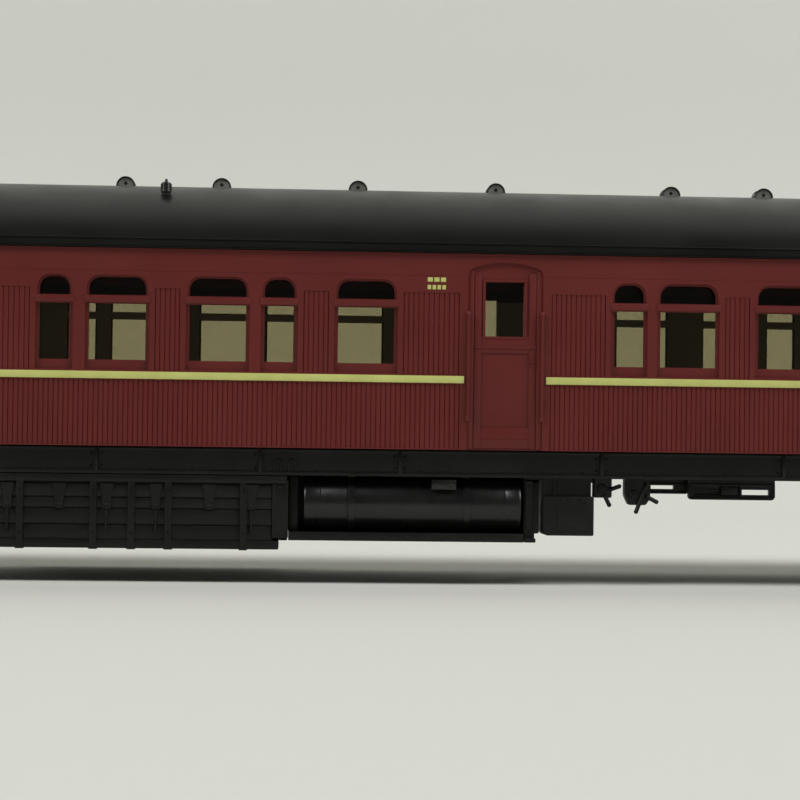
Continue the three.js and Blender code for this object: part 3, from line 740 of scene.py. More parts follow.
def makeRoof():
    bm = bmesh.new()
    spread = asin(roof["half"] / roofRadius)
    curve = arc(0, roof["ridge"] - roofRadius, roofRadius, pi / 2 - spread, pi / 2 + spread, roof["steps"])
    line = [(roof["half"], roof["bottom"])] + curve + [(-roof["half"], roof["bottom"])]
    verts = [bm.verts.new((roofLow.x, y, z)) for y, z in line]
    section = bm.faces.new(verts)
    made = bmesh.ops.extrude_face_region(bm, geom=[section])["geom"]
    pushed = [item for item in made if isinstance(item, bmesh.types.BMVert)]
    bmesh.ops.translate(bm, vec=(roofHigh.x - roofLow.x, 0, 0), verts=pushed)
    bmesh.ops.recalc_face_normals(bm, faces=bm.faces[:])
    ends = [e for e in bm.edges if abs(e.verts[0].co.x - e.verts[1].co.x) < 0.001
            and min(v.co.z for v in e.verts) > roof["bottom"] + 0.5]
    bevelEdges(bm, ends, roof["endRound"], 4)
    finishPiece(bm, "roofShell", "roofPaint", "coach_body", ["roof"], 40)
    beads = bmesh.new()
    for low, high in roof["gutters"]:
        addBox(beads, roofLow.x + 0.1, roofHigh.x - 0.1, -roof["half"] + 0.4, -roof["half"], low, high, 0.08, 2)
    mirrorAcross(beads)
    finishPiece(beads, "roofGutters", "roofPaint", "coach_body", ())


vent = {"rim": 0.2, "recess": 0.3, "screw": 0.22, "screwRise": 0.32}


# Each vent is a short drum across the ridge, half sunk in it: a dark rim round a grey face with a screw.
def makeVents():
    faces = bmesh.new()
    number = 1
    while f"roof_vent_{number:02d}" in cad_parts:
        node = f"roof_vent_{number:02d}"
        low, high = nodeBox(node)
        x = (low.x + high.x) / 2
        radius = (high.x - low.x) / 2
        middle = high.z - radius
        half = high.y
        inside = radius - vent["rim"]
        bm = bmesh.new()
        profile = [(0, -half + vent["recess"]), (inside, -half + vent["recess"]), (inside + 0.04, -half + 0.05),
                   (radius - 0.06, -half), (radius, -half + 0.07), (radius - 0.03, -half + 0.32),
                   (inside - 0.02, -half + 0.48)]
        profile += [(r, -a) for r, a in reversed(profile)]
        addTurned(bm, profile, "Y", (x, 0, middle), 36)
        for end in (-1, 1):
            deep = end * (half - vent["recess"])
            addRod(faces, inside, deep - 0.02, deep + 0.02, "Y", (x, 0, middle), 32)
            addRod(bm, vent["screw"], deep - 0.1, deep + 0.14, "Y", (x, 0, middle + vent["screwRise"]), 12,
                   0.05)
        finishPiece(bm, f"roofVent{number:02d}", "ventPaint", "coach_body", [node])
        number += 1
    finishPiece(faces, "roofVentFaces", "ventFace", "coach_body")


def makeLampTop():
    low, high = nodeBox("lamp_top")
    x, y, top = (low.x + high.x) / 2, (low.y + high.y) / 2, high.z
    bm = bmesh.new()
    foot = low.z
    profile = [(0, foot), (0.56, foot), (0.56, top - 1.75), (0.5, top - 1.68), (0.58, top - 1.6),
               (0.62, top - 1.5), (0.58, top - 1.42), (0.57, top - 0.62), (0.5, top - 0.45),
               (0.22, top - 0.36), (0.17, top - 0.12), (0.1, top), (0, top)]
    addTurned(bm, profile, "Z", (x, y, 0), 24)
    for i in range(10):
        turn = 2 * pi * i / 10
        addRod(bm, 0.07, top - 1.42, top - 0.58, "Z", (x + 0.58 * cos(turn), y + 0.58 * sin(turn), 0), 6)
    finishPiece(bm, "lampTop", "ventPaint", "coach_body", ["lamp_top"])


makeRoof()
makeVents()
makeLampTop()
print("roof made")


# A node's box with the near side's front and back faces, so that both sides share one builder.
def sidedBox(node):
    low, high = nodeBox(node)
    reach, depth = max(abs(low.y), abs(high.y)), min(abs(low.y), abs(high.y))
    return low, high, -reach, -depth


# Turns a piece drawn for the near side into its twin on the far side.
def flipAcross(bm):
    bmesh.ops.scale(bm, vec=(1, -1, 1), verts=bm.verts[:])
    bmesh.ops.reverse_faces(bm, faces=bm.faces[:])


rivetLook = {"radius": 0.13, "height": 0.09}
rivet = patternMesh(lambda bm: addBall(bm, rivetLook["radius"], (0, 0, 0),
                                       (1, rivetLook["height"] / rivetLook["radius"], 1), 8))


def addRivets(bm, x0, x1, y, z, pitch):
    count = max(1, round((x1 - x0) / pitch))
    for i in range(count + 1):
        stamp(bm, rivet, Matrix.Translation((x0 + (x1 - x0) * i / count, y, z)))


def addStraight(bm, radius, start, end, steps=10):
    start, end = Vector(start), Vector(end)
    made = bmesh.ops.create_cone(bm, cap_ends=True, segments=steps, radius1=radius, radius2=radius,
                                 depth=(end - start).length)["verts"]
    turn = (end - start).to_track_quat("Z", "Y").to_matrix()
    bmesh.ops.rotate(bm, cent=(0, 0, 0), matrix=turn, verts=made)
    bmesh.ops.translate(bm, vec=(start + end) / 2, verts=made)


# A coil spring: a wire section wound up a helix, with both cut ends closed.
def addCoil(bm, centre, coilRadius, wireRadius, bottom, top, turns):
    x, y = centre
    ring = bmesh.ops.create_circle(bm, cap_ends=False, segments=7, radius=wireRadius)["verts"]
    bmesh.ops.rotate(bm, cent=(0, 0, 0), matrix=Matrix.Rotation(pi / 2, 3, "X"), verts=ring)
    bmesh.ops.translate(bm, vec=(x + coilRadius, y, bottom + wireRadius), verts=ring)
    before = set(bm.verts) - set(ring)
    steps = turns * 14
    rise = (top - bottom - 2 * wireRadius) / steps
    bmesh.ops.spin(bm, geom=ring + edgesOf(ring), cent=(x, y, 0), axis=(0, 0, 1), dvec=(0, 0, rise),
                   angle=2 * pi * turns, steps=steps, use_merge=False, use_duplicate=False)
    made = [vert for vert in bm.verts if vert not in before]
    openEnds = [edge for edge in edgesOf(made) if len(edge.link_faces) == 1]
    bmesh.ops.holes_fill(bm, edges=openEnds, sides=8)
    bmesh.ops.recalc_face_normals(bm, faces=list({f for vert in made for f in vert.link_faces}))


# A CAD node whose shape is right, with its edges rounded: a merged copy of it takes its place.
def soften(node, name, material, body, offset, segments=2):
    bm = bmesh.new()
    bm.from_mesh(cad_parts[node].data)
    bmesh.ops.transform(bm, matrix=toMetres.inverted(), verts=bm.verts[:])
    bmesh.ops.remove_doubles(bm, verts=bm.verts[:], dist=0.002)
    bmesh.ops.dissolve_limit(bm, angle_limit=radians(2), verts=bm.verts[:], edges=bm.edges[:])
    sharp = [e for e in bm.edges
             if e.is_convex and len(e.link_faces) == 2 and e.calc_face_angle(0) > radians(40)]
    bmesh.ops.bevel(bm, geom=sharp, offset=offset, offset_type="OFFSET", affect="EDGES", segments=segments,
                    profile=0.5, clamp_overlap=True, material=-1)
    finishPiece(bm, name, material, body, [node])


solebar = {
    "ribs": [-112, -98, -76, -55, -34.5, -15.9, 0.1, 23.4, 44.6, 65, 86, 104],
    "webSet": 0.35, "lip": 0.45, "rivetPitch": 2.35, "hooks": [-13.9, -12.2],
}


# A channel with its lips outward, stiffened by ribs and riveted along the bottom lip.
def makeSolebar(node, name):
    low, high, front, back = sidedBox(node)
    web = front + solebar["webSet"]
    bm = bmesh.new()
    addBox(bm, low.x, high.x, web, back, low.z, high.z, 0.05)
    addBox(bm, low.x, high.x, front, back + 0.1, low.z, low.z + solebar["lip"], 0.1, 2)
    addBox(bm, low.x, high.x, front + 0.15, back + 0.1, high.z - 0.35, high.z, 0.08, 2)
    for x in solebar["ribs"]:
        addBox(bm, x - 0.2, x + 0.2, front, web + 0.2, low.z + 0.3, high.z, 0.08, 2)
        for flank in (x - 0.6, x + 0.6):
            addRivets(bm, flank, flank, web, low.z + 0.95, 1)
            addRivets(bm, flank, flank, web, high.z - 0.75, 1)
    addRivets(bm, low.x + 1.2, high.x - 1.2, web, low.z + 0.72, solebar["rivetPitch"])
    for x in solebar["hooks"]:
        for foot in (x - 0.4, x + 0.4):
            addStraight(bm, 0.13, (foot, web - 0.08, low.z + 0.5), (foot, web - 0.08, low.z + 1.5), 8)
        addStraight(bm, 0.13, (x - 0.42, web - 0.08, low.z + 1.48), (x, web - 0.08, low.z + 1.85), 8)
        addStraight(bm, 0.13, (x + 0.42, web - 0.08, low.z + 1.48), (x, web - 0.08, low.z + 1.85), 8)
    if low.y > 0:
        flipAcross(bm)
    finishPiece(bm, name, "underframePlastic", "coach_body", [node])


battery = {
    "lidTop": nodeBox("solebar_near")[0].z - 0.06,
    "planks": [3.9, 5.7, 7.55, 8.8, 10.45], "posts": [-52.5, -43.1, -34.8, -30.5, -26.3, -17.75],
    "straps": [-56.2, -50.3, -44.5, -38.65, -33.3, -27.7, -21.65, -16.85],
    "pinned": (-56.2, -44.5, -33.3, -27.7, -16.85), "postHalf": 0.4,
    "endWidth": 1.7, "skidShort": 0.9, "face": 0.3, "gap": 0.09, "footHalf": 0.5, "footDrop": 0.12,
}


# A long box of planks between posts, with strap hinges, latch pins, a lid, a skid and a stepped end,
# hung from the floor along its whole length.
def makeBatteryBox(node, name):
    low, high, front, back = sidedBox(node)
    left, right = low.x + 0.3, high.x
    bm = bmesh.new()
    wall = front + battery["face"]
    addBox(bm, left, right - battery["endWidth"] + 0.1, wall + 0.3, back, low.z + 0.3, 10.7, 0.05)
    levels = battery["planks"]
    for z0, z1 in zip(levels, levels[1:]):
        addBox(bm, left, right - battery["endWidth"], wall, wall + 0.5, z0 + battery["gap"] / 2,
               z1 - battery["gap"] / 2, 0.12, 2)
    for x in battery["posts"]:
        if x > left + 1:
            addBox(bm, x - battery["postHalf"], x + battery["postHalf"], front + 0.03, wall + 0.4, 3.2, 11.1,
                   0.08, 2)
            addRivets(bm, x, x, front + 0.03, 9.7, 1)
            addRivets(bm, x, x, front + 0.03, 4.8, 1)
            addBox(bm, x - battery["footHalf"], x + battery["footHalf"], front + 0.15, front + 1.2,
                   low.z - battery["footDrop"], low.z + 0.3, 0.08, 2)
    addBox(bm, low.x, right, front, back, 10.55, 11.2, 0.12, 2)
    addBox(bm, low.x, right, front + 0.1, back, 11.0, battery["lidTop"], 0.03)
    addBox(bm, left, right - battery["skidShort"], front + 0.1, back, low.z, 4.0, 0.12, 2)
    addBox(bm, right - battery["endWidth"], right + 0.17, front + 0.15, back, 4.3, 10.9, 0.16, 2)
    for x in battery["straps"]:
        if x < left + 1:
            continue
        outline = [(x - 0.8, 10.4), (x - 0.55, 8.95), (x - 0.5, 7.45), (x + 0.5, 7.45), (x + 0.55, 8.95),
                   (x + 0.8, 10.4)]
        addPrism(bm, outline, wall - 0.16, wall + 0.1, 0.06, 1)
        addBall(bm, 0.22, (x, wall - 0.12, 7.9), (1, 0.6, 1), 8)
        if x in battery["pinned"]:
            addRod(bm, 0.15, 4.9, 7.2, "Z", (x, wall - 0.1, 0), 8, 0.04)
            addBall(bm, 0.24, (x, wall - 0.1, 7.1), (1, 0.6, 1.3), 8)
    addRod(bm, 0.25, -0.1, 0.1, "Y", (right - 0.85, front + 0.12, 4.9), 10, 0.05)
    addRod(bm, 0.2, -0.1, 0.1, "Y", (right - 0.85, front + 0.12, 10.0), 10, 0.05)
    addBox(bm, left + 0.5, right - 0.5, -14.2, -8, 10.9, high.z, 0.1)
    if low.y > 0:
        flipAcross(bm)
    finishPiece(bm, name, "underframePlastic", "coach_body", [node])


tank = {"strap": 0.15, "strapHalf": 0.45, "strapPlaces": (0.22, 0.75), "clipLeft": 3.75, "clipRight": 6.6}


# A drum with flat ends, a seam near each end, and two straps and hangers; the near one has a top clip.
def makeTank(node, name):
    low, high, front, back = sidedBox(node)
    outer = (back - front) / 2
    radius = outer - tank["strap"]
    y, z = (front + back) / 2, low.z + outer
    left, right = low.x, high.x
    centre = (0, y, z)
    bm = bmesh.new()
    end = [(0, 0), (0.6, 0.01), (0.93, 0.04), (0.975, 0.1), (0.995, 0.22), (1.0, 0.4)]
    seam = [(1.0, 1.75), (1.018, 1.85), (1.018, 2.0), (1.0, 2.1)]
    profile = [(r * radius, left + a) for r, a in end + seam]
    profile += [(r * radius, right - a) for r, a in reversed(end + seam)]
    addTurned(bm, profile, "X", centre, 56)
    for share in tank["strapPlaces"]:
        x = left + (right - left) * share
        half = tank["strapHalf"]
        band = [(radius - 0.1, x - half), (outer - 0.05, x - half), (outer, x - half + 0.06),
                (outer, x + half - 0.06), (outer - 0.05, x + half), (radius - 0.1, x + half),
                (radius - 0.1, x - half)]
        addTurned(bm, band, "X", centre, 56)
        addBox(bm, x - half, x + half, y - 1.2, y + 1.2, z + radius - 0.7, high.z, 0.1)
    if low.y < 0:
        addBox(bm, tank["clipLeft"], tank["clipRight"], front - 0.05, y, 10.05, 11.2, 0.1, 2)
        for x in (tank["clipLeft"] + 0.6, tank["clipRight"] - 0.6):
            stamp(bm, rivet, Matrix.Translation((x, front - 0.05, 10.6)))
    if low.y > 0:
        flipAcross(bm)
    finishPiece(bm, name, "tankPlastic", "coach_body", [node])


def makeTankTray():
    low, high = nodeBox("tank_tray")
    bm = bmesh.new()
    addBox(bm, low.x, 14.4, low.y, low.y + 0.4, low.z, low.z + 1.0, 0.1, 2)
    addBox(bm, low.x, 14.4, low.y + 0.1, high.y, low.z, low.z + 0.4, 0.05)
    addBox(bm, low.x, low.x + 1.1, -13.9, high.y, low.z + 0.2, 11.4, 0.1, 2)
    addBox(bm, low.x, high.x, -8.7, high.y, low.z + 0.2, high.z, 0.06)
    for x in (-8, -3, 2, 7, 12):
        addBox(bm, x - 0.25, x + 0.25, -8.9, -8.5, low.z + 0.3, high.z - 0.5, 0.06)
    addRivets(bm, low.x + 0.8, 13.6, low.y + 0.02, low.z + 0.5, 2.6)
    finishPiece(bm, "tankTray", "underframePlastic", "coach_body", ["tank_tray"])


def makeTankBracket():
    low, high = nodeBox("tank_bracket")
    bm = bmesh.new()
    notch = high.x - 0.5
    outline = [(14.5, low.z), (notch, low.z), (notch, 5.1), (high.x, 5.1), (high.x, 11.4), (14.5, 11.4)]
    addPrism(bm, outline, low.y + 1.3, high.y, 0.1, 2)
    addBox(bm, low.x, high.x, -14.3, high.y, 10.9, high.z, 0.08)
    addBox(bm, 14.65, 15.6, low.y + 1.15, low.y + 1.5, 4.4, 11.2, 0.08)
    addBox(bm, 14.5, high.x - 0.5, low.y, low.y + 1.4, low.z, low.z + 0.5, 0.08)
    for z in (5.4, 8.0, 10.6):
        addRivets(bm, 15.2, 15.2, low.y + 1.18, z, 1)
    finishPiece(bm, "tankBracket", "underframePlastic", "coach_body", ["tank_bracket"])


# The small box has a framed front cover with two hinges and a latch.
def makeEquipmentBox():
    low, high = nodeBox("equipment_box")
    bm = bmesh.new()
    outline = [(17.1, low.z), (high.x, low.z), (high.x, 9.45), (low.x, 9.45), (low.x, 5.3)]
    addPrism(bm, outline, low.y + 0.15, high.y, 0.16, 2)
    addBox(bm, 16.65, 22.35, -14.3, -9.7, 9.2, high.z, 0.08)
    addBox(bm, 22.2, 22.62, -14.2, -9.7, 11.0, high.z, 0.05)
    addBox(bm, 17.9, 18.35, -14.5, -13.9, 9.2, high.z, 0.08)
    addBox(bm, 18.3, 22.2, low.y + 0.05, low.y + 0.4, 5.4, 9.0, 0.1, 2)
    for x in (19.1, 21.4):
        addBox(bm, x - 0.35, x + 0.35, low.y, low.y + 0.3, 8.6, 9.3, 0.07)
    addRod(bm, 0.3, 0.0, 0.3, "Y", (20.0, low.y, 6.1), 10, 0.06)
    finishPiece(bm, "equipmentBox", "underframePlastic", "coach_body", ["equipment_box"])


cocks = [
    {"node": "brake_cock_a", "name": "brakeCockA", "plug": (23.6, 10.3),
     "outline": [(22.7, 9.3), (24.8, 9.3), (24.8, 14.5), (22.7, 14.5)],
     "handles": [(24.5, 10.25, 25.6, 10.65), (23.9, 9.6, 24.45, 8.5)]},
    {"node": "brake_cock_b", "name": "brakeCockB", "plug": (27.3, 9.6),
     "outline": [(26.8, 8.5), (28.8, 8.5), (29.3, 9.3), (29.3, 14.5), (26.3, 14.5), (26.3, 9.6)],
     "handles": [(28.9, 11.1, 27.6, 7.75), (28.8, 9.5, 29.95, 8.9)]},
]


# A cock has a moulded body, a round plug with a square end, and two round-ended handles.
def makeCock(look):
    bm = bmesh.new()
    addPrism(bm, look["outline"], -14.25, -12.4, 0.2, 2)
    plugX, plugZ = look["plug"]
    addRod(bm, 0.6, -14.6, -14.0, "Y", (plugX, 0, plugZ), 16, 0.1)
    addBox(bm, plugX - 0.25, plugX + 0.25, -14.78, -14.4, plugZ - 0.25, plugZ + 0.25, 0.06)
    for x0, z0, x1, z1 in look["handles"]:
        addStraight(bm, 0.25, (x0, -14.4, z0), (x1, -14.4, z1))
        addBall(bm, 0.27, (x1, -14.4, z1), (1, 1, 1), 12)
    finishPiece(bm, look["name"], "underframePlastic", "coach_body", [look["node"]])


links = [
    {"node": "link_frame_a", "name": "linkFrameA", "slots": [(29.7, 32.4, 10.35, 10.9)],
     "recess": [], "boss": []},
    {"node": "link_frame_b", "name": "linkFrameB", "slots": [(40.1, 43.3, 9.8, 10.4)],
     "recess": [(34.6, 37.4, 9.75, 10.3)], "boss": [(37.5, 39.8, 9.62, 10.95)]},
]
linkLook = {"corner": 0.45, "rim": 0.32, "proud": 0.16, "top": 11.1}


# A link frame is a plate with a raised rim round its lower part and a slot right through.
# The second one also has a blind slot and a boss.
def makeLinkFrame(look):
    low, high = nodeBox(look["node"])
    corner, rim = linkLook["corner"], linkLook["rim"]
    front = low.y + linkLook["proud"]
    outline = [(low.x, high.z)] + arc(low.x + corner, low.z + corner, corner, pi, 1.5 * pi, 5)
    outline += arc(high.x - corner, low.z + corner, corner, 1.5 * pi, 2 * pi, 5) + [(high.x, high.z)]
    plateMesh, cuts = bmesh.new(), bmesh.new()
    addPrism(plateMesh, outline, front, high.y)
    for x0, x1, z0, z1 in look["slots"]:
        addBox(cuts, x0, x1, low.y - 1, high.y + 1, z0, z1)
    for x0, x1, z0, z1 in look["recess"]:
        addBox(cuts, x0, x1, low.y - 1, front + 0.35, z0, z1)
    blank = makeObject(plateMesh, look["name"])
    carve(blank, makeObject(cuts, "slotCuts"))
    bm = bmesh.new()
    bm.from_mesh(blank.data)
    bpy.data.objects.remove(blank)
    addBox(bm, low.x + 0.3, high.x - 0.3, low.y, front + 0.1, low.z, low.z + rim, 0.08, 2)
    addBox(bm, low.x + 0.3, high.x - 0.3, low.y, front + 0.1, linkLook["top"] - rim, linkLook["top"], 0.08, 2)
    for x in (low.x, high.x - rim):
        addBox(bm, x, x + rim, low.y, front + 0.1, low.z + 0.3, linkLook["top"] - 0.1, 0.08, 2)
    for x0, x1, z0, z1 in look["recess"]:
        addBox(bm, x0 - 0.1, x1 + 0.1, low.y + 0.04, front + 0.1, z1, z1 + 0.14, 0.04)
        addBox(bm, x0 - 0.1, x1 + 0.1, low.y + 0.04, front + 0.1, z0 - 0.14, z0, 0.04)
    for x0, x1, z0, z1 in look["boss"]:
        addBox(bm, x0, x1, low.y - 0.02, front + 0.1, z0, z1, 0.3, 4)
    finishPiece(bm, look["name"], "underframePlastic", "coach_body", [look["node"]])


gangway = {"half": [5.4, 5.9, 5.4, 5.9], "top": [36.2, 36.6, 36.2, 36.6], "pitch": 0.6, "thick": 0.65,
           "foot": 14.9, "doorHalf": 3.6, "doorLow": 16.6, "doorTop": 33.8, "fold": 0.24}


def addFrame(bm, x0, x1, half, bottom, top, bevel, segments):
    inner, low, high = gangway["doorHalf"], gangway["doorLow"], gangway["doorTop"]
    for sign in (-1, 1):
        addBox(bm, x0, x1, sign * inner, sign * half, bottom, top, bevel, segments)
    addBox(bm, x0, x1, -half, half, high, top, bevel, segments)
    addBox(bm, x0, x1, -half, half, bottom, low, bevel, segments)


# Folded bellows behind a flat face plate with a row of bolts.
def makeGangway(end, sign):
    start = bodyHigh.x + 0.1
    bellows, plateMesh = bmesh.new(), bmesh.new()
    for i, (half, top) in enumerate(zip(gangway["half"], gangway["top"])):
        x = start + gangway["pitch"] * i
        addFrame(bellows, sign * x, sign * (x + gangway["thick"]), half, gangway["foot"], top,
                 gangway["fold"], 3)
    x = start + 2.3
    addFrame(plateMesh, sign * (x + 0.1), sign * (x + 0.6), 5.6, gangway["foot"], 36.4, 0.08, 2)
    for y in (-5.1, 5.1):
        for z in range(16, 37, 2):
            addBall(plateMesh, 0.16, (sign * (x + 0.58), y, z - 0.1), (0.42, 1, 1), 8)
    finishPiece(bellows, f"gangwayBellows{end}", "gangwayRubber", "coach_body", [f"gangway_{end.lower()}"])
    finishPiece(plateMesh, f"gangwayPlate{end}", "couplerPlastic", "coach_body", ())


endDoor = {"half": 3.2, "bottom": 16.8, "top": 33.4, "panels": [(17.8, 24.6), (25.6, 32.6)]}


# The end wall: boards either side of the gangway, and a panelled door in the gangway.
def makeEndWall(sign, name):
    bm = bmesh.new()
    wall = sign * bodyHigh.x
    pitch = side["boardPitch"]
    for edge in (-1, 1):
        x0, x1 = 6.3, face - 0.9
        count = round((x1 - x0) / pitch)
        for i in range(count):
            y = edge * (x0 + (x1 - x0) * (i + 0.5) / count)
            addBox(bm, wall, wall - sign * 0.3, y - pitch / 2 + 0.03, y + pitch / 2 - 0.03, side["boardBottom"],
                   side["top"] - 0.5, 0.08)
    half = endDoor["half"]
    addBox(bm, wall - sign * 0.1, wall + sign * 0.25, -half, half, endDoor["bottom"], endDoor["top"], 0.08, 2)
    for low, high in endDoor["panels"]:
        addBox(bm, wall, wall + sign * 0.4, -half + 0.7, half - 0.7, low, high, 0.14, 2)
    addBall(bm, 0.35, (wall + sign * 0.45, half - 0.35, 25.1), (1, 1, 1), 12)
    finishPiece(bm, name, "maroonPaint", "coach_body", ())


makeSolebar("solebar_near", "solebarNear")
makeSolebar("solebar_far", "solebarFar")
makeBatteryBox("battery_box_near", "batteryBoxNear")
makeBatteryBox("battery_box_far", "batteryBoxFar")
makeTank("tank_near", "tankNear")
makeTank("tank_far", "tankFar")
makeTankTray()
makeTankBracket()
makeEquipmentBox()
for cock in cocks:
    makeCock(cock)
for look in links:
    makeLinkFrame(look)
soften("underframe_floor", "underframeFloor", "underframePlastic", "coach_body", 0.08)
soften("ballast_weight", "ballastWeight", "weightSteel", "coach_body", 0.1)
for end, sign in (("Front", 1), ("Rear", -1)):
    makeGangway(end, sign)
    makeEndWall(sign, f"endWall{end}")
    lower = end.lower()
    soften(f"ballast_screw_{lower}", f"ballastScrew{end}", "brightSteel", "coach_body", 0.08)
    soften(f"coupler_pocket_{lower}", f"couplerPocket{end}", "underframePlastic", "coach_body",
           0.1)
    soften(f"coupler_{lower}", f"coupler{end}", "couplerPlastic", f"coupler_arm_{lower}",
           0.16)
    soften(f"knuckle_{lower}", f"knuckle{end}", "couplerPlastic", f"knuckle_hook_{lower}",
           0.16)
print("underframe and ends made")

bogie = {
    "wheelbase": 28, "inner": 11.3, "outer": 12.7, "springs": (-6.2, 6.2), "chordLow": 8.2, "chordHigh": 9.7,
    "boxHalf": 1.9, "boxLow": 3.2, "boxProud": 1.0, "bolsterHalf": 3.2, "bolsterProud": 0.5,
}


# One side frame: a ribbed chord, sprung bolster, equaliser bar on two coil springs, two axleboxes.
def buildBogieSide(bm, middle):
    inner, outer = -bogie["inner"], -bogie["outer"]
    proud = outer - bogie["boxProud"]
    low, high = bogie["chordLow"], bogie["chordHigh"]
    addBox(bm, middle - 18.3, middle + 18.3, inner, outer + 0.35, low, high, 0.1, 2)
    addBox(bm, middle - 18.3, middle + 18.3, inner, outer, high - 0.35, high, 0.1, 2)
    addBox(bm, middle - 18.3, middle + 18.3, inner, outer, low, low + 0.3, 0.1, 2)
    for x in (-17.6, -10.6, -8.9, 8.9, 10.6, 17.6):
        addBox(bm, middle + x - 0.2, middle + x + 0.2, inner, outer + 0.05, low, high, 0.06)
    addRivets(bm, middle - 9.0, middle - 4.2, outer + 0.36, low + 0.75, 1.2)
    addRivets(bm, middle + 4.2, middle + 9.0, outer + 0.36, low + 0.75, 1.2)
    bar = [(-14.5, 6.6), (-14.5, 5.6), (-10.4, 5.3), (-8.8, 2.9), (8.8, 2.9), (10.4, 5.3), (14.5, 5.6),
           (14.5, 6.6), (9.6, 6.3), (8.0, 3.9), (-8.0, 3.9), (-9.6, 6.3)]
    addPrism(bm, [(middle + x, z) for x, z in bar], outer + 0.1, inner - 0.3, 0.14, 2)
    for x in bogie["springs"]:
        place = (middle + x, -12.0)
        addRod(bm, 1.28, 3.6, 4.3, "Z", (place[0], place[1], 0), 20, 0.12)
        addRod(bm, 1.28, 7.7, 8.5, "Z", (place[0], place[1], 0), 20, 0.12)
        addRod(bm, 0.6, 4.0, 8.0, "Z", (place[0], place[1], 0), 14)
        addCoil(bm, place, 0.98, 0.27, 4.15, 7.85, 5)
    for x in (-bogie["wheelbase"] / 2, bogie["wheelbase"] / 2):
        buildAxlebox(bm, middle + x, inner, outer, proud)
    buildBolsterSpring(bm, middle, inner, outer)


def buildAxlebox(bm, x, inner, outer, proud):
    half, bottom = bogie["boxHalf"], bogie["boxLow"]
    addBox(bm, x - half, x + half, inner, outer - 0.1, bottom, 8.4, 0.25, 3)
    lid = [(x - 1.35, 3.8), (x + 1.35, 3.8), (x + 1.45, 6.0), (x + 1.0, 6.9), (x - 1.0, 6.9), (x - 1.45, 6.0)]
    addPrism(bm, lid, proud + 0.08, outer, 0.18, 2)
    addRod(bm, 0.22, x - 0.9, x + 0.9, "X", (0, proud + 0.2, 6.95), 10, 0.05)
    addRod(bm, 0.5, proud, outer, "Y", (x, 0, 5.1), 16, 0.12)
    for across in (-1, 1):
        addBox(bm, x + across * half, x + across * (half - 0.45), inner, proud + 0.45, 3.4, 8.3, 0.1, 2)
        stamp(bm, rivet, Matrix.Translation((x + across * 1.6, proud + 0.45, 4.0)))
        stamp(bm, rivet, Matrix.Translation((x + across * 1.6, proud + 0.45, 7.6)))
    addBox(bm, x - 0.9, x + 0.9, inner, proud + 0.4, 7.4, 8.3, 0.12, 2)


def buildBolsterSpring(bm, middle, inner, outer):
    half, front = bogie["bolsterHalf"], outer - bogie["bolsterProud"]
    addBox(bm, middle - half, middle + half, inner, front, 8.0, 9.0, 0.14, 2)
    addBox(bm, middle - half, middle + half, inner, front, 3.7, 4.35, 0.14, 2)
    addBox(bm, middle - half + 0.3, middle + half - 0.3, inner, inner - 0.4, 4.0, 8.5, 0.05)
    for sign in (-1, 1):
        addBox(bm, middle + sign * half, middle + sign * (half - 0.6), inner, front + 0.15, 4.0, 8.4, 0.1, 2)
        addCoil(bm, (middle + sign * 1.2, outer + 0.25), 0.78, 0.24, 4.25, 8.1, 6)
        addRod(bm, 0.45, 4.2, 8.1, "Z", (middle + sign * 1.2, outer + 0.25, 0), 12)
        stamp(bm, rivet, Matrix.Translation((middle + sign * 2.4, front, 8.5)))
        stamp(bm, rivet, Matrix.Translation((middle + sign * 2.4, front, 4.0)))


def makeBogieFrame(end):
    low, high = nodeBox(f"bogie_frame_{end.lower()}")
    middle = (low.x + high.x) / 2
    bm = bmesh.new()
    buildBogieSide(bm, middle)
    mirrorAcross(bm)
    reach = bogie["inner"] + 0.5
    bolster = [(-reach, 8.3), (-8.5, 7.6), (8.5, 7.6), (reach, 8.3), (reach, 9.4), (4.0, high.z),
               (-4.0, high.z), (-reach, 9.4)]
    addPrism(bm, bolster, middle - 3.3, middle + 3.3, 0.15, 2, "X")
    for x in (-17.6, 17.6):
        addBox(bm, middle + x - 0.6, middle + x + 0.6, -reach, reach, 8.4, 9.4, 0.14, 2)
    frameObject = makeObject(bm, "bogieBlank")
    hole = bmesh.new()
    addRod(hole, 1.4, 5, 12, "Z", (middle, 0, 0), 32)
    axleLow, axleHigh = nodeBox(f"axle_{end.lower()}_inner")
    tip, radius = axleHigh.y, (axleHigh.x - axleLow.x) / 2
    cup = [(0, tip + 0.08), (0.42, tip + 0.08), (radius + 0.12, 11.2), (radius + 0.12, bogie["inner"] - 0.6),
           (0, bogie["inner"] - 0.6)]
    for x in (-bogie["wheelbase"] / 2, bogie["wheelbase"] / 2):
        for sign in (-1, 1):
            addTurned(hole, [(r, sign * a) for r, a in cup], "Y",
                      (middle + x, 0, (axleLow.z + axleHigh.z) / 2), 32)
    carve(frameObject, makeObject(hole, "pivotHole"))
    frameObject.name = f"bogieFrame{end}"
    finishPiece(frameObject, frameObject.name, "underframePlastic", f"bogie_{end.lower()}",
                [f"bogie_frame_{end.lower()}"])
    soften(f"pivot_screw_{end.lower()}", f"pivotScrew{end}", "brightSteel", "coach_body", 0.08)


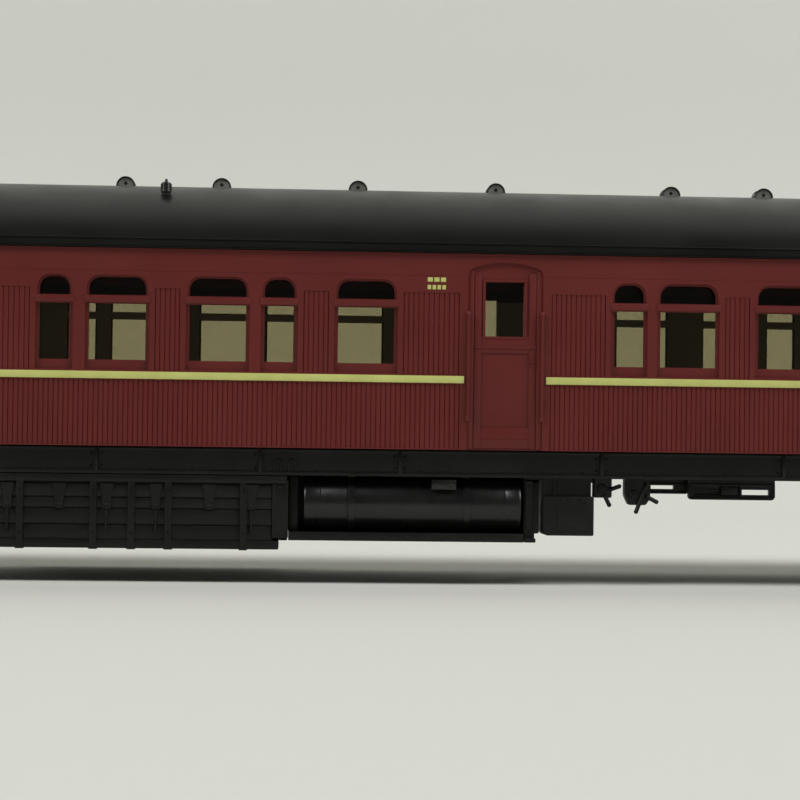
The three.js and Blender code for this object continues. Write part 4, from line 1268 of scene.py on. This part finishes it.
wheel = {
    "bore": 0.93,
    "section": [(1.9, 0.05), (2.1, 0.5), (2.6, 0.75), (4.1, 0.8), (4.5, 0.55), (4.7, 0.1), (5.75, 0.0),
                (6.0, 0.06), (6.13, 0.25), (6.15, 0.36), (6.08, 0.6), (5.8, 0.82), (5.45, 0.95),
                (5.32, 1.1), (5.28, 1.3),
                (5.25, 2.55), (5.16, 2.68), (4.6, 2.7), (4.46, 2.62), (4.3, 1.9), (4.0, 1.68), (2.4, 1.6),
                (2.0, 1.72), (1.8, 2.1), (1.74, 2.6), (1.64, 2.7)],
}


# A wheel is one ring section turned about its axle: hub, dished web, rim, tread and flange.
def makeWheel(node, name, body):
    low, high = nodeBox(node)
    sign = 1 if low.y > 0 else -1
    back = low.y if sign > 0 else high.y
    centre = ((low.x + high.x) / 2, 0, (low.z + high.z) / 2)
    ring = [(wheel["bore"], 0.05)] + wheel["section"] + [(wheel["bore"], 2.7), (wheel["bore"], 0.05)]
    bm = bmesh.new()
    addTurned(bm, [(r, back + sign * a) for r, a in ring], "Y", centre, 72)
    finishPiece(bm, name, "wheelMetal", body, [node])


def makeAxle(node, name, body):
    low, high = nodeBox(node)
    centre = ((low.x + high.x) / 2, 0, (low.z + high.z) / 2)
    half, radius = high.y, (high.x - low.x) / 2
    profile = [(0, -half), (0.25, -half + 0.02), (0.32, -half + 0.1), (radius, -11.15), (radius, -7.2),
               (radius - 0.1, -6.9), (radius - 0.1, 6.9), (radius, 7.2), (radius, 11.15), (0.32, half - 0.1),
               (0.25, half - 0.02), (0, half)]
    bm = bmesh.new()
    addTurned(bm, profile, "Y", centre, 32)
    finishPiece(bm, name, "brightSteel", body, [node])


for end in ("Front", "Rear"):
    makeBogieFrame(end)
    for which in ("Inner", "Outer"):
        stem = f"{end.lower()}_{which.lower()}"
        makeAxle(f"axle_{stem}", f"axle{end}{which}", f"wheelset_{stem}")
        for flank in ("Near", "Far"):
            makeWheel(f"wheel_{stem}_{flank.lower()}", f"wheel{end}{which}{flank}", f"wheelset_{stem}")
print("bogies made")
